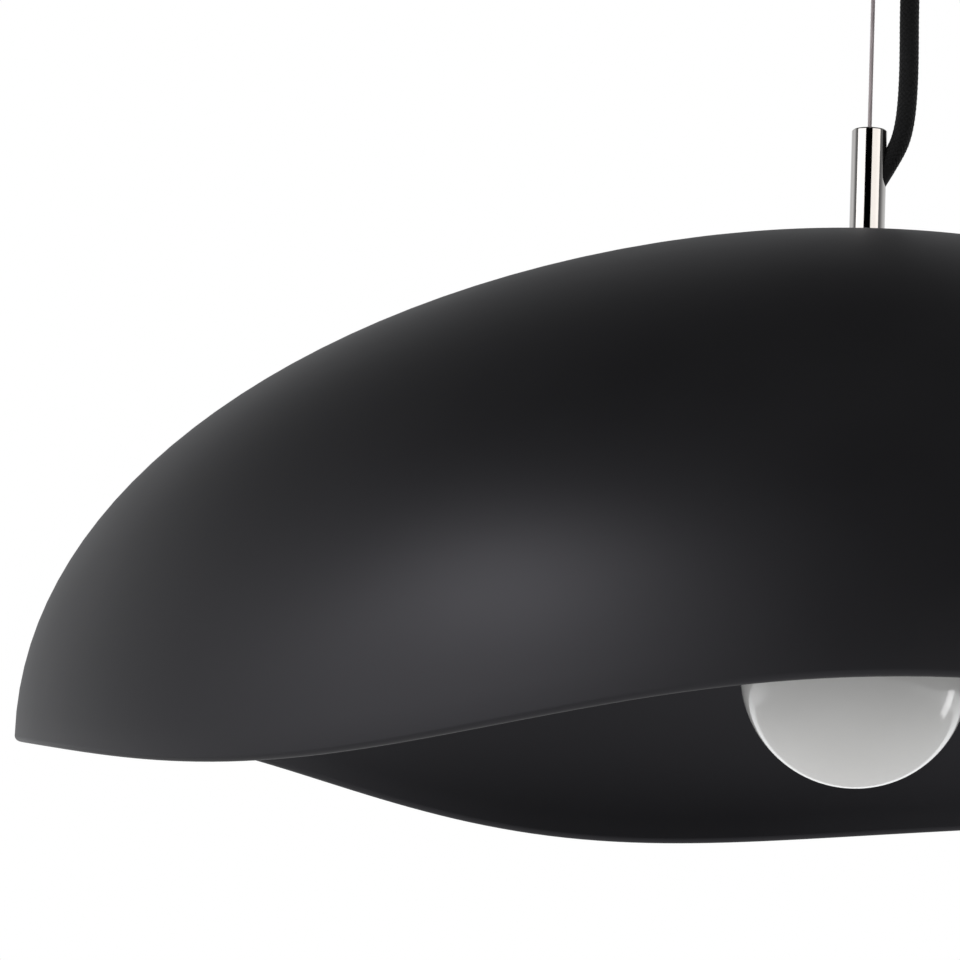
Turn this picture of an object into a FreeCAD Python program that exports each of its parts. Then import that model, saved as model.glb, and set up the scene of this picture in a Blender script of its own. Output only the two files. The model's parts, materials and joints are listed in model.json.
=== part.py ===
"""Pendant ceiling light: a wavy-rimmed black dome on a short metal stem, hung on a steel cable.

Millimetres, +Z up. The origin is on the ceiling, at the middle of the mounting strap, so the
whole lamp is below Z = 0. Seen from the front (looking along +Y), the flex runs to the right
of the steel cable, on the +X side.
"""
import FreeCAD, Part
import math
import os
import re

import Sketcher
from FreeCAD import Rotation, Vector

SIZES = {
    # ceiling fitting
    "strap_length": 84.0,
    "strap_width": 18.0,
    "strap_thickness": 2.0,
    "slot_spacing": 60.0,
    "slot_length": 12.0,
    "slot_width": 4.5,
    "boss_radius": 5.5,
    "boss_length": 18.0,
    "canopy_radius": 50.0,
    "canopy_depth": 28.0,
    "canopy_wall": 1.0,
    "canopy_corner": 5.0,
    "block_length": 13.0,
    "block_width": 20.0,
    "block_depth": 11.0,
    "block_pitch": 6.5,
    "block_reach": 22.0,
    "earth_reach": 17.0,
    # cable gripper and flex gland
    "gripper_thread_radius": 4.0,
    "gripper_flange_radius": 5.5,
    "gripper_flange_height": 3.0,
    "gripper_body_radius": 4.8,
    "gripper_reach": 17.0,
    "gripper_rise": 15.0,
    "nozzle_reach": 4.0,
    "plunger_radius": 2.5,
    "plunger_length": 15.0,
    "plunger_travel": 2.0,
    "ball_radius": 0.8,
    "spring_length": 5.0,
    "spring_wire": 0.5,
    "spring_turns": 3.0,
    "tail_gap": 8.0,
    "crimp_length": 3.0,
    "gland_offset": 13.0,
    "gland_thread_radius": 5.2,
    "gland_flange_radius": 6.5,
    "gland_reach": 15.0,
    "gland_nut_height": 4.0,
    "cord_tail_rise": 11.0,
    # steel cable and flex
    "cable_radius": 0.75,
    "free_cable": 50.0,
    "ferrule_radius": 2.3,
    "ferrule_length": 4.0,
    "cord_radius": 3.5,
    "core_radius": 1.1,
    # stem
    "stem_radius": 6.25,
    "stem_bore": 4.6,
    "stem_height": 41.0,
    "stem_cap_height": 3.4,
    "cord_hole_drop": 13.2,
    "cord_hole_tilt": 30.0,
    "nipple_radius": 5.0,
    "nipple_bore": 3.5,
    "nipple_grip": 10.5,
    "nipple_screw_in": 7.0,
    # shade
    "dome_radius": 291.0,
    "dome_depth": 186.0,
    "dome_side_power": 1.77,
    "dome_top_power": 2.06,
    "shade_wall": 4.0,
    "rim_depth": 188.0,
    "wave_rise": 12.5,
    "wave_lean": 2.8,
    "wave_count": 3.0,
    "wave_turn": 102.5,
    "washer_radius": 14.0,
    "washer_height": 1.5,
    "nut_flats": 14.0,
    "nut_height": 3.5,
    # lampholder
    "holder_radius": 19.5,
    "holder_wall": 2.0,
    "holder_shell_height": 34.0,
    "holder_cap_height": 24.0,
    "holder_neck_radius": 8.0,
    "insert_height": 8.0,
    "skirt_wall": 1.7,
    "socket_radius": 13.7,
    "socket_wall": 0.5,
    "contact_strip": 0.6,
    "contact_tip": 1.0,
    "terminal_height": 4.0,
    "terminal_reach": 9.0,
    # bulb
    "bulb_drop": 153.0,
    "globe_radius": 40.0,
    "glass_wall": 1.0,
    "neck_radius": 13.4,
    "neck_height": 49.0,
    "neck_join_angle": 32.0,
    "bulb_cap_radius": 13.0,
    "bulb_cap_height": 21.0,
    "bulb_cap_wall": 0.6,
    "insulator_height": 3.8,
    "bulb_contact_radius": 4.6,
    "bulb_contact_height": 1.5,
    # fits
    "clearance": 0.3,
    "snug": 0.05,
}

# The flex from the gland's mouth to the stem's side hole: how far out from the steel cable and
# how far below the gland's mouth each point is.
CORD_ROUTE = [
    (13.0, 0.0),
    (13.0, 10.5),
    (13.25, 21.5),
    (13.35, 32.5),
    (12.95, 44.5),
    (11.7, 53.5),
    (9.5, 59.57),
    (6.25, 65.2),
]

doc = FreeCAD.newDocument("PendantLight")
sheet = doc.addObject("Spreadsheet::Sheet", "Sizes")
for row, (alias, value) in enumerate(SIZES.items(), start=1):
    sheet.set("A%d" % row, alias)
    sheet.set("B%d" % row, str(value))
    sheet.setAlias("B%d" % row, alias)
doc.recompute()

pieces = []

# Heights, as formulas in the sheet's own names.
CANOPY_BASE = "-canopy_depth"
NOZZLE_END = "-(canopy_depth + gripper_reach)"
GLAND_MOUTH = "-(canopy_depth + gland_reach)"
STEM_TOP = NOZZLE_END + " - free_cable"
APEX = STEM_TOP + " - stem_height"
BULB_CENTRE = APEX + " - bulb_drop"
NECK_TOP = BULB_CENTRE + " + neck_height"
BULB_TIP = NECK_TOP + " + bulb_cap_height + insulator_height + bulb_contact_height"
INSERT_BASE = BULB_TIP + " + snug * 2 + contact_tip + contact_strip"
HOLDER_JOINT = INSERT_BASE + " + insert_height"
HOLDER_TOP = HOLDER_JOINT + " + holder_cap_height"


def size(name):
    """The value of one named size."""
    return float(sheet.get(name))


def formula(text):
    """A FreeCAD expression from a formula in the sheet's own names."""
    return re.sub(r"[a-z]+(?:_[a-z]+)+|snug|clearance", lambda m: "Sizes." + m.group(0), text)


def number(text):
    """The value of a formula in the sheet's own names."""
    found = sheet.evalExpression(formula(text))
    return float(getattr(found, "Value", found))


def move_to(piece, x="0", y="0", z="0"):
    """Ties a piece's place to formulas."""
    for axis, text in (("x", x), ("y", y), ("z", z)):
        if text != "0":
            piece.setExpression("Placement.Base." + axis, formula(text))


def keep(piece, label):
    """Marks an object as one finished piece of the lamp."""
    piece.Label = label
    pieces.append(piece)
    return piece


def turned_body(label, outline, z="0", x="0"):
    """A PartDesign body turned about its own Z axis from (radius, height) formulas."""
    body = doc.addObject("PartDesign::Body", label)
    sketch = body.newObject("Sketcher::SketchObject", label + "_profile")
    plane = [item for item in body.Origin.OriginFeatures if item.Role == "XZ_Plane"][0]
    sketch.AttachmentSupport = (plane, [""])
    sketch.MapMode = "FlatFace"
    corners = [Vector(number(r), number(h), 0) for r, h in outline]
    count = len(corners)
    for index in range(count):
        sketch.addGeometry(Part.LineSegment(corners[index], corners[(index + 1) % count]), False)
    for index in range(count):
        sketch.addConstraint(Sketcher.Constraint("Coincident", index, 2, (index + 1) % count, 1))
    for index, (r, h) in enumerate(outline):
        for kind, text, axis, value in (
            ("DistanceX", r, -2, corners[index].x),
            ("DistanceY", h, -1, corners[index].y),
        ):
            if text == "0":
                sketch.addConstraint(Sketcher.Constraint("PointOnObject", index, 1, axis))
            else:
                place = sketch.addConstraint(Sketcher.Constraint(kind, -1, 1, index, 1, value))
                sketch.setExpression("Constraints[%d]" % place, formula(text))
    turn = body.newObject("PartDesign::Revolution", label + "_turn")
    turn.Profile = sketch
    turn.ReferenceAxis = (sketch, ["V_Axis"])
    turn.Angle = 360.0
    move_to(body, x=x, z=z)
    return body


def ring(label, inner, outer, height, z="0", x="0"):
    """A plain turned ring."""
    outline = [(inner, "0"), (outer, "0"), (outer, height), (inner, height)]
    return keep(turned_body(label, outline, z=z, x=x), label)


def cylinder(name, radius, height, x="0", y="0", z="0"):
    """An upright cylinder."""
    item = doc.addObject("Part::Cylinder", name)
    item.setExpression("Radius", formula(radius))
    item.setExpression("Height", formula(height))
    move_to(item, x, y, z)
    return item


def box(name, length, width, height, x="0", y="0", z="0"):
    """A box from its low corner."""
    item = doc.addObject("Part::Box", name)
    item.setExpression("Length", formula(length))
    item.setExpression("Width", formula(width))
    item.setExpression("Height", formula(height))
    move_to(item, x, y, z)
    return item


def cut(name, base, tool):
    """The base with the tool taken away."""
    item = doc.addObject("Part::Cut", name)
    item.Base = base
    item.Tool = tool
    return item


def together(name, items):
    """Several solids joined into one."""
    item = doc.addObject("Part::MultiFuse", name)
    item.Shapes = items
    return item


def group(label, items):
    """Several separate solids kept as one node."""
    item = doc.addObject("Part::Compound", label)
    item.Links = items
    return keep(item, label)


def hex_nut(label, flats, height, hole, x="0", z="0"):
    """A hexagon nut with two of its flats square to X."""
    prism = doc.addObject("Part::Prism", label + "_blank")
    prism.Polygon = 6
    prism.setExpression("Circumradius", formula("(" + flats + ") / 2 / cos(30)"))
    prism.setExpression("Height", formula(height))
    prism.Placement = FreeCAD.Placement(Vector(0, 0, 0), Rotation(Vector(0, 0, 1), 30))
    move_to(prism, x=x, z=z)
    return keep(cut(label, prism, cylinder(label + "_hole", hole, height, x=x, z=z)), label)


def rounded_path(points):
    """Straight runs joined by tangent arcs, each as large as its two runs allow."""
    edges = []
    radii = []
    start = points[0]
    for before, corner, after in zip(points, points[1:], points[2:]):
        way_in = (corner - before).normalize()
        way_out = (after - corner).normalize()
        half_turn = way_in.getAngle(way_out) / 2
        trim = 0.45 * min((corner - before).Length, (after - corner).Length)
        radii.append(trim / math.tan(half_turn))
        arc_start = corner - way_in * trim
        arc_end = corner + way_out * trim
        inward = (way_out - way_in).normalize()
        centre = corner + inward * (radii[-1] / math.cos(half_turn))
        middle = centre - inward * radii[-1]
        edges.append(Part.LineSegment(start, arc_start).toShape())
        edges.append(Part.Arc(arc_start, middle, arc_end).toShape())
        start = arc_end
    edges.append(Part.LineSegment(start, points[-1]).toShape())
    return Part.Wire(edges), radii


def tube(label, points, radius):
    """A round solid along a path, with its radii and volume reported."""
    path, radii = rounded_path(points)
    circle = Part.Circle(points[0], points[1] - points[0], radius)
    solid = path.makePipeShell([Part.Wire([circle.toShape()])], True, False)
    expected = math.pi * radius ** 2 * path.Length
    print("%s: length %.2f, radii %s, volume ratio %.4f" % (
        label, path.Length, ["%.1f" % r for r in radii], solid.Volume / expected))
    item = doc.addObject("Part::Feature", label)
    item.Shape = solid
    return keep(item, label)


# ---------------------------------------------------------------- ceiling fitting
def ceiling_fitting():
    """The strap, its threaded boss, the canopy and the wiring inside it."""
    plate = box("strap_plate", "strap_length", "strap_width", "strap_thickness",
                x="-strap_length / 2", y="-strap_width / 2", z="-strap_thickness")
    slots = []
    for name, sign in (("left", "-"), ("right", "")):
        middle = sign + "slot_spacing / 2"
        straight = "(slot_length - slot_width)"
        for end, side in (("inner", "-"), ("outer", "+")):
            slots.append(cylinder("slot_%s_%s" % (name, end), "slot_width / 2",
                                  "strap_thickness", z="-strap_thickness",
                                  x="%s %s %s / 2" % (middle, side, straight)))
        slots.append(box("slot_%s_run" % name, straight, "slot_width", "strap_thickness",
                         x="%s - %s / 2" % (middle, straight),
                         y="-slot_width / 2", z="-strap_thickness"))
    slots.append(cylinder("earth_hole", "2 + snug", "strap_thickness",
                          x="earth_reach", z="-strap_thickness"))
    keep(cut("ceiling_strap", plate, together("strap_holes", slots)), "ceiling_strap")

    ring("anchor_boss", "gripper_thread_radius + snug", "boss_radius", "boss_length",
         z="-(strap_thickness + boss_length)")

    cup = turned_body("canopy_blank", [
        ("0", "0"), ("canopy_radius", "0"), ("canopy_radius", "canopy_depth"),
        ("canopy_radius - canopy_wall", "canopy_depth"),
        ("canopy_radius - canopy_wall", "canopy_wall"), ("0", "canopy_wall")],
        z=CANOPY_BASE)
    doc.recompute()
    round_corners(cup)
    holes = together("canopy_holes", [
        cylinder("gripper_hole", "gripper_thread_radius + clearance", "canopy_wall",
                 z=CANOPY_BASE),
        cylinder("gland_hole", "gland_thread_radius + clearance", "canopy_wall",
                 x="gland_offset", z=CANOPY_BASE)])
    keep(cut("canopy_cup", cup, holes), "canopy_cup")

    wiring()


def round_corners(cup):
    """Rounds the canopy's bottom corner, outside and inside."""
    for name, radius, height, bend in (
        ("outer_corner", "canopy_radius", "0", "canopy_corner"),
        ("inner_corner", "canopy_radius - canopy_wall", "canopy_wall",
         "canopy_corner - canopy_wall"),
    ):
        before = cup.Tip
        for index, edge in enumerate(before.Shape.Edges, start=1):
            curve = edge.Curve
            if not isinstance(curve, Part.Circle):
                continue
            same_radius = abs(curve.Radius - number(radius)) < 1e-6
            same_height = abs(curve.Center.z - number(height)) < 1e-6
            if same_radius and same_height:
                bent = cup.newObject("PartDesign::Fillet", name)
                bent.Base = (before, ["Edge%d" % index])
                bent.setExpression("Radius", formula(bend))
                cup.Tip = bent
                doc.recompute()
                break


def wiring():
    """The terminal block, the earth screw and the cores that reach them."""
    top = "-(strap_thickness + block_depth)"
    block = box("block_blank", "block_length", "block_width", "block_depth",
                x="-block_reach", y="-block_width / 2", z=top)
    holes = []
    clamps = []
    screws = []
    for pole, side in enumerate(("-", "0 *", "")):
        y = side + "block_pitch"
        for store, name, radius in (
            (holes, "wire_way_%d", "core_radius + 1.15"),
            (clamps, "clamp_outer_%d", "core_radius + 1.1"),
        ):
            rod = cylinder(name % pole, radius, "block_length", y=y)
            rod.Placement.Rotation = Rotation(Vector(0, 1, 0), 90)
            rod.setExpression("Placement.Base.x", formula("-block_reach"))
            rod.setExpression("Placement.Base.z", formula("-(strap_thickness + block_depth / 2)"))
            store.append(rod)
        for end, x in (("near", "-block_reach + 3"), ("far", "-block_reach + block_length - 3")):
            screws.append(cylinder("terminal_screw_%d_%s" % (pole, end), "1.3", "2.2",
                                   x=x, y=y, z=top + " - 0.4"))
            holes.append(cylinder("screw_way_%d_%s" % (pole, end), "1.35", "2.4",
                                  x=x, y=y, z=top))
    keep(cut("terminal_block", block, together("block_holes", holes)), "terminal_block")
    bored = []
    for pole, clamp in enumerate(clamps):
        bore = cylinder("clamp_bore_%d" % pole, "core_radius + 0.2", "block_length",
                        y=("-", "0 *", "")[pole] + "block_pitch")
        bore.Placement.Rotation = Rotation(Vector(0, 1, 0), 90)
        bore.setExpression("Placement.Base.x", formula("-block_reach"))
        bore.setExpression("Placement.Base.z", formula("-(strap_thickness + block_depth / 2)"))
        bored.append(cut("clamp_%d" % pole, clamp, bore))
    group("terminal_clamps", bored)
    group("terminal_screws", screws)

    keep(turned_body("earth_screw", [
        ("0", "0"), ("3.5", "0"), ("3.5", "2"), ("2", "2"), ("2", "8"), ("0", "8")],
        x="earth_reach", z="-(strap_thickness + 6)"), "earth_screw")


def gripper():
    """The cable gripper: body, plunger, balls and spring, with the cable's clamped tail."""
    ring_top = "gripper_reach - nozzle_reach"
    spring_bore = "plunger_radius + clearance"
    tail_bore = "cable_radius + clearance"
    chamber = "plunger_length - nozzle_reach + spring_length"
    keep(turned_body("gripper_body", [
        (spring_bore, "0"),
        ("gripper_body_radius", "0"),
        ("gripper_body_radius", ring_top + " - gripper_flange_height"),
        ("gripper_flange_radius", ring_top + " - gripper_flange_height"),
        ("gripper_flange_radius", ring_top),
        ("gripper_thread_radius", ring_top),
        ("gripper_thread_radius", ring_top + " + gripper_rise"),
        (tail_bore, ring_top + " + gripper_rise"),
        (tail_bore, chamber),
        (spring_bore, chamber)],
        z=NOZZLE_END + " + nozzle_reach"), "gripper_body")
    keep(turned_body("release_plunger", [
        ("cable_radius + clearance", "0"),
        ("plunger_radius - 0.8", "0"),
        ("plunger_radius", "0.8"),
        ("plunger_radius", "plunger_length"),
        ("cable_radius + clearance", "plunger_length")],
        z=NOZZLE_END), "release_plunger")

    balls = []
    spread = "(cable_radius + ball_radius + snug)"
    for index in range(3):
        ball = doc.addObject("Part::Sphere", "ball_%d" % index)
        ball.setExpression("Radius", formula("ball_radius"))
        move_to(ball,
                x="%s * cos(%d)" % (spread, 120 * index),
                y="%s * sin(%d)" % (spread, 120 * index),
                z=NOZZLE_END + " + plunger_length + ball_radius")
        balls.append(ball)
    group("gripper_balls", balls)

    wire = size("spring_wire") / 2
    turns = int(size("spring_turns"))
    foot = number(NOZZLE_END + " + plunger_length + 2 * ball_radius + clearance")
    room = number(NOZZLE_END + " + plunger_length + spring_length") - foot
    pitch = (room - 3 * wire) / turns
    coil_radius = size("plunger_radius") - wire
    coils = []
    for quarter in range(4 * turns):
        coil = Part.makeHelix(pitch, pitch / 4, coil_radius)
        coil.rotate(Vector(0, 0, 0), Vector(0, 0, 1), 90 * quarter)
        coil.translate(Vector(0, 0, foot + 1.5 * wire + pitch / 4 * quarter))
        coils += coil.Edges
    heading = coils[0].tangentAt(coils[0].FirstParameter)
    start = coils[0].valueAt(coils[0].FirstParameter)
    circle = Part.Wire([Part.Circle(start, heading, wire).toShape()])
    spring = doc.addObject("Part::Feature", "gripper_spring")
    spring.Shape = Part.Wire(coils).makePipeShell([circle], True, True)
    keep(spring, "gripper_spring")

    keep(cylinder("cable_tail", "cable_radius",
                  "gripper_reach + canopy_depth - tail_gap - clearance",
                  z=NOZZLE_END + " + clearance"), "cable_tail")
    ring("tail_crimp", "cable_radius + snug", "cable_radius + 1", "crimp_length",
         z="-(tail_gap + crimp_length + 0.5)")


def gland():
    """The flex gland in the canopy, its nut and screw, and the flex and cores above it."""
    bore = "cord_radius + clearance"
    neck = "gland_reach - gripper_flange_height"
    blank = turned_body("gland_blank", [
        (bore, "0"),
        ("gland_thread_radius - 0.2", "0"),
        ("gland_thread_radius + 0.3", "1"),
        ("gland_thread_radius + 0.3", neck),
        ("gland_flange_radius", neck),
        ("gland_flange_radius", "gland_reach"),
        ("gland_thread_radius", "gland_reach"),
        ("gland_thread_radius", "gland_reach + 7"),
        (bore, "gland_reach + 7")],
        x="gland_offset", z=GLAND_MOUTH)
    screw_height = "-(canopy_depth + gland_reach / 2)"
    hole = cylinder("gland_screw_hole", "1.1", "3", x="gland_offset + cord_radius",
                    z=screw_height)
    hole.Placement.Rotation = Rotation(Vector(0, 1, 0), 90)
    keep(cut("cord_gland", blank, hole), "cord_gland")
    screw = cylinder("gland_screw", "1.05", "1.9", x="gland_offset + cord_radius + snug",
                     z=screw_height)
    screw.Placement.Rotation = Rotation(Vector(0, 1, 0), 90)
    keep(screw, "gland_screw")
    hex_nut("gland_nut", "gland_flange_radius * 2", "gland_nut_height",
            "gland_thread_radius + snug", x="gland_offset", z="-(canopy_depth - canopy_wall)")

    tail_top = -(size("canopy_depth") - size("cord_tail_rise"))
    middle = size("gland_offset")
    keep(cylinder("cord_tail", "cord_radius", "gland_reach + cord_tail_rise", x="gland_offset",
                  z=GLAND_MOUTH), "cord_tail")
    entry = -size("block_reach") + size("block_length")
    level = -(size("strap_thickness") + size("block_depth") / 2)
    radius = size("core_radius")
    for name, side in (("live_core_upper", -1), ("neutral_core_upper", 1)):
        y = side * size("block_pitch")
        tube(name, [
            Vector(middle - 0.6, side * 1.4, tail_top),
            Vector(middle - 0.6, side * 1.4, tail_top + 3.5),
            Vector(middle - 2.5, side * 5.0, level),
            Vector(4.0, side * 7.6, level),
            Vector(entry + 3.0, y, level),
            Vector(entry - 3.5, y, level)], radius)
    tube("earth_core_upper", [
        Vector(middle + 1.6, 0, tail_top),
        Vector(middle + 1.6, 0, tail_top + 2.6),
        Vector(size("earth_reach"), 0, tail_top + 6.0),
        Vector(size("earth_reach"), 0, -(size("strap_thickness") + 6))], radius)


# ---------------------------------------------------------------- cable and flex
def suspension():
    """The bend sleeve, the hanging steel cable, its swaged end and the hanging flex."""
    keep(turned_body("bend_sleeve", [
        ("cable_radius + 0.6", "0"), ("cable_radius + 1.2", "0"),
        ("cable_radius + 1.4", "1.5"), ("cable_radius + 0.9", "1.5")],
        z=NOZZLE_END + " - clearance - 2"), "bend_sleeve")
    keep(cylinder("suspension_cable", "cable_radius",
                  "free_cable + stem_cap_height + snug * 4 + ferrule_length",
                  z=STEM_TOP + " - stem_cap_height - snug * 4 - ferrule_length"),
         "suspension_cable")
    keep(turned_body("cable_ferrule", [
        ("cable_radius + snug / 2", "0"), ("ferrule_radius - 0.7", "0"),
        ("ferrule_radius", "0.7"), ("ferrule_radius", "ferrule_length"),
        ("cable_radius + snug / 2", "ferrule_length")],
        z=STEM_TOP + " - stem_cap_height - snug * 4 - ferrule_length"), "cable_ferrule")
    mouth = number(GLAND_MOUTH)
    route = [Vector(out, 0, mouth - down) for out, down in CORD_ROUTE]
    tube("power_cord", route, size("cord_radius"))


# ---------------------------------------------------------------- stem
def stem():
    """The stem tube with its slanted flex hole, its cap, and what runs down inside it."""
    blank = turned_body("stem_blank", [
        ("nipple_radius + snug", "0"), ("stem_radius", "0"),
        ("stem_radius", "stem_height - 0.5"), ("stem_radius - 0.5", "stem_height"),
        ("stem_bore", "stem_height"), ("stem_bore", "nipple_grip + 1"),
        ("nipple_radius + snug", "nipple_grip + 1")], z=APEX)
    tilt = math.radians(size("cord_hole_tilt"))
    slant = Vector(-math.sin(tilt), 0, -math.cos(tilt))
    entry = Vector(size("stem_radius"), 0, number(STEM_TOP + " - cord_hole_drop"))
    turn = entry + slant * (entry.x / math.sin(tilt))
    cutter = doc.addObject("Part::Cylinder", "cord_hole")
    cutter.setExpression("Radius", formula("cord_radius + clearance"))
    cutter.setExpression("Height", formula("stem_radius / sin(cord_hole_tilt) * 2"))
    cutter.Placement = FreeCAD.Placement(turn, Rotation(Vector(0, 0, 1), entry - turn))
    keep(cut("stem_tube", blank, cutter), "stem_tube")

    keep(turned_body("stem_cap", [
        ("cable_radius + clearance", "0"), ("stem_bore - snug / 2", "0"),
        ("stem_bore - snug / 2", "stem_cap_height - 0.3"),
        ("stem_bore - 0.3", "stem_cap_height"),
        ("cable_radius + clearance", "stem_cap_height")],
        z=STEM_TOP + " - stem_cap_height"), "stem_cap")

    nipple_top = number(APEX + " + nipple_grip")
    cord_end = nipple_top + 1
    tube("cord_inner", [entry, turn, Vector(0, 0, cord_end)], size("cord_radius"))
    ring("cord_end_sleeve", "cord_radius + snug", "stem_bore - clearance", "3",
         z=APEX + " + nipple_grip + 1.1")

    ring("threaded_nipple", "nipple_bore", "nipple_radius",
         "nipple_grip + (%s) - (%s) + nipple_screw_in" % (APEX, HOLDER_TOP),
         z=HOLDER_TOP + " - nipple_screw_in")

    pitch_radius = size("nipple_bore") - size("core_radius") - 0.8
    fan = number(HOLDER_TOP + " - nipple_screw_in") - 2
    foot = number(HOLDER_JOINT + " + terminal_height")
    for name, angle in (("live_core_lower", 90), ("neutral_core_lower", 210),
                        ("earth_core_lower", 330)):
        way = Vector(math.cos(math.radians(angle)), math.sin(math.radians(angle)), 0)
        tube(name, [
            way * pitch_radius + Vector(0, 0, cord_end),
            way * pitch_radius + Vector(0, 0, fan),
            way * 5 + Vector(0, 0, (fan + foot) / 2 + 2),
            way * size("terminal_reach") + Vector(0, 0, foot + 3),
            way * size("terminal_reach") + Vector(0, 0, foot)], size("core_radius"))


# ---------------------------------------------------------------- shade
def dome_point(turn):
    """Radius and depth on the dome's outside; turn runs from 0 at the top to pi / 2 at the side."""
    radius = size("dome_radius") * math.sin(turn) ** (2 / size("dome_side_power"))
    side = math.copysign(abs(math.cos(turn)) ** (2 / size("dome_top_power")), math.cos(turn))
    return Vector(radius, 0, -size("dome_depth") * (1 - side))


def dome_normal(turn):
    """The dome's outward direction in its own radial plane."""
    step = 1e-4
    along = dome_point(turn + step) - dome_point(turn - step)
    return Vector(-along.z, 0, along.x).normalize()


def turn_at_radius(radius):
    """Where on the dome the outside has this radius."""
    return math.asin((radius / size("dome_radius")) ** (size("dome_side_power") / 2))


def rim_turn(azimuth):
    """How far down the dome the rim lies, at an azimuth: equal waves that lean a little."""
    swing = math.radians(azimuth - size("wave_turn")) * size("wave_count")
    depth = size("rim_depth") + size("wave_rise") * math.cos(swing)
    depth += size("wave_lean") * math.sin(2 * swing)
    height = 1 - depth / size("dome_depth")
    return math.acos(math.copysign(abs(height) ** (size("dome_top_power") / 2), height))


def shade_ring(place, top):
    """A closed smooth curve round the shade; place gives its point in each radial plane."""
    points = []
    for azimuth in range(0, 360, 5):
        flat = place(azimuth)
        angle = math.radians(azimuth)
        points.append(Vector(flat.x * math.cos(angle), flat.x * math.sin(angle), flat.z + top))
    curve = Part.BSplineCurve()
    curve.interpolate(Points=points, PeriodicFlag=True)
    return Part.Wire([curve.toShape()])


def shade():
    """The dome shell: outside, rounded lip, inside and the hole for the nipple."""
    wall = size("shade_wall")
    top = number(APEX)
    hole = size("nipple_radius") + size("clearance")
    start = turn_at_radius(hole)
    steps = 12

    def skin(share, depth):
        def place(azimuth):
            turn = start + (rim_turn(azimuth) - start) * share
            return dome_point(turn) - dome_normal(turn) * depth
        return place

    def lip(angle):
        def place(azimuth):
            turn = rim_turn(azimuth)
            out = dome_normal(turn)
            down = Vector(out.z, 0, -out.x)
            middle = dome_point(turn) - out * (wall / 2)
            return middle + (out * math.cos(angle) + down * math.sin(angle)) * (wall / 2)
        return place

    def mouth(depth):
        return lambda azimuth: Vector(hole, 0, dome_point(start).z - depth)

    outside = [shade_ring(mouth(0), top)]
    outside += [shade_ring(skin(i / steps, 0), top) for i in range(1, steps + 1)]
    edge = [outside[-1]]
    edge += [shade_ring(lip(math.pi * i / 6), top) for i in range(1, 6)]
    inside = [shade_ring(skin(i / steps, wall), top) for i in range(steps, 0, -1)]
    edge.append(inside[0])
    inside.append(shade_ring(mouth(wall), top))
    faces = []
    for rings in (outside, edge, inside, [inside[-1], outside[0]]):
        faces += Part.makeLoft(rings, False, False, False).Faces
    shell = Part.makeShell(faces)
    shell.sewShape()
    solid = Part.makeSolid(shell)
    if solid.Volume < 0:
        solid.reverse()
    item = doc.addObject("Part::Feature", "shade")
    item.Shape = solid
    keep(item, "shade")

    sag = dome_point(turn_at_radius(size("washer_radius"))).z
    gap = "%s - shade_wall - %.3f" % (APEX, -sag + 0.08)
    hole_text = "nipple_radius + snug"
    ring("rubber_washer", hole_text, "washer_radius", "washer_height", z=gap + " - washer_height")
    ring("steel_washer", hole_text, "washer_radius - 2", "washer_height",
         z=gap + " - washer_height * 2")
    hex_nut("shade_nut", "nut_flats", "nut_height", hole_text,
            z=gap + " - washer_height * 2 - nut_height")


# ---------------------------------------------------------------- lampholder
def lampholder():
    """The lampholder that screws onto the nipple."""
    hex_nut("holder_nut", "nut_flats", "nut_height", "nipple_radius + snug", z=HOLDER_TOP)
    keep(turned_body("holder_cap", [
        ("nipple_radius + snug", "holder_cap_height - 8"),
        ("holder_neck_radius - holder_wall / 2", "holder_cap_height - 9"),
        ("holder_radius - holder_wall", "holder_cap_height / 3"),
        ("holder_radius - holder_wall", "0"), ("holder_radius", "0"),
        ("holder_radius", "holder_cap_height / 3 + 1"),
        ("holder_neck_radius + 1", "holder_cap_height - 6"),
        ("holder_neck_radius", "holder_cap_height - 5"),
        ("holder_neck_radius", "holder_cap_height"),
        ("nipple_radius + snug", "holder_cap_height")], z=HOLDER_JOINT), "holder_cap")
    ring("holder_shell", "holder_radius - holder_wall", "holder_radius", "holder_shell_height",
         z=HOLDER_JOINT + " - holder_shell_height")

    core_radius = "holder_radius - holder_wall - snug"
    skirt_inner = "socket_radius + socket_wall + snug"
    skirt = "(%s) - (%s) - 4" % (INSERT_BASE, NECK_TOP)
    keep(turned_body("holder_insert", [
        (skirt_inner, "0"), (skirt_inner + " + skirt_wall", "0"),
        (skirt_inner + " + skirt_wall", skirt), (core_radius, skirt),
        (core_radius, skirt + " + insert_height"), ("0", skirt + " + insert_height"),
        ("0", skirt), (skirt_inner, skirt)], z=NECK_TOP + " + 4"), "holder_insert")
    ring("thread_shell", "socket_radius", "socket_radius + socket_wall", skirt + " - 0.5",
         z=NECK_TOP + " + 4")

    blocks = []
    for index, angle in enumerate((90, 210, 330)):
        block = cylinder("terminal_%d" % index, "3", "terminal_height",
                         x="terminal_reach * cos(%d)" % angle,
                         y="terminal_reach * sin(%d)" % angle, z=HOLDER_JOINT)
        blocks.append(block)
    group("holder_terminals", blocks)

    strip = box("contact_strip_blank", "14", "5", "contact_strip",
                x="-7", y="-2.5", z=INSERT_BASE + " - contact_strip")
    tip = cylinder("contact_tip_blank", "2.2", "contact_tip",
                   z=INSERT_BASE + " - contact_strip - contact_tip")
    keep(together("centre_contact", [strip, tip]), "centre_contact")


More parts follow.
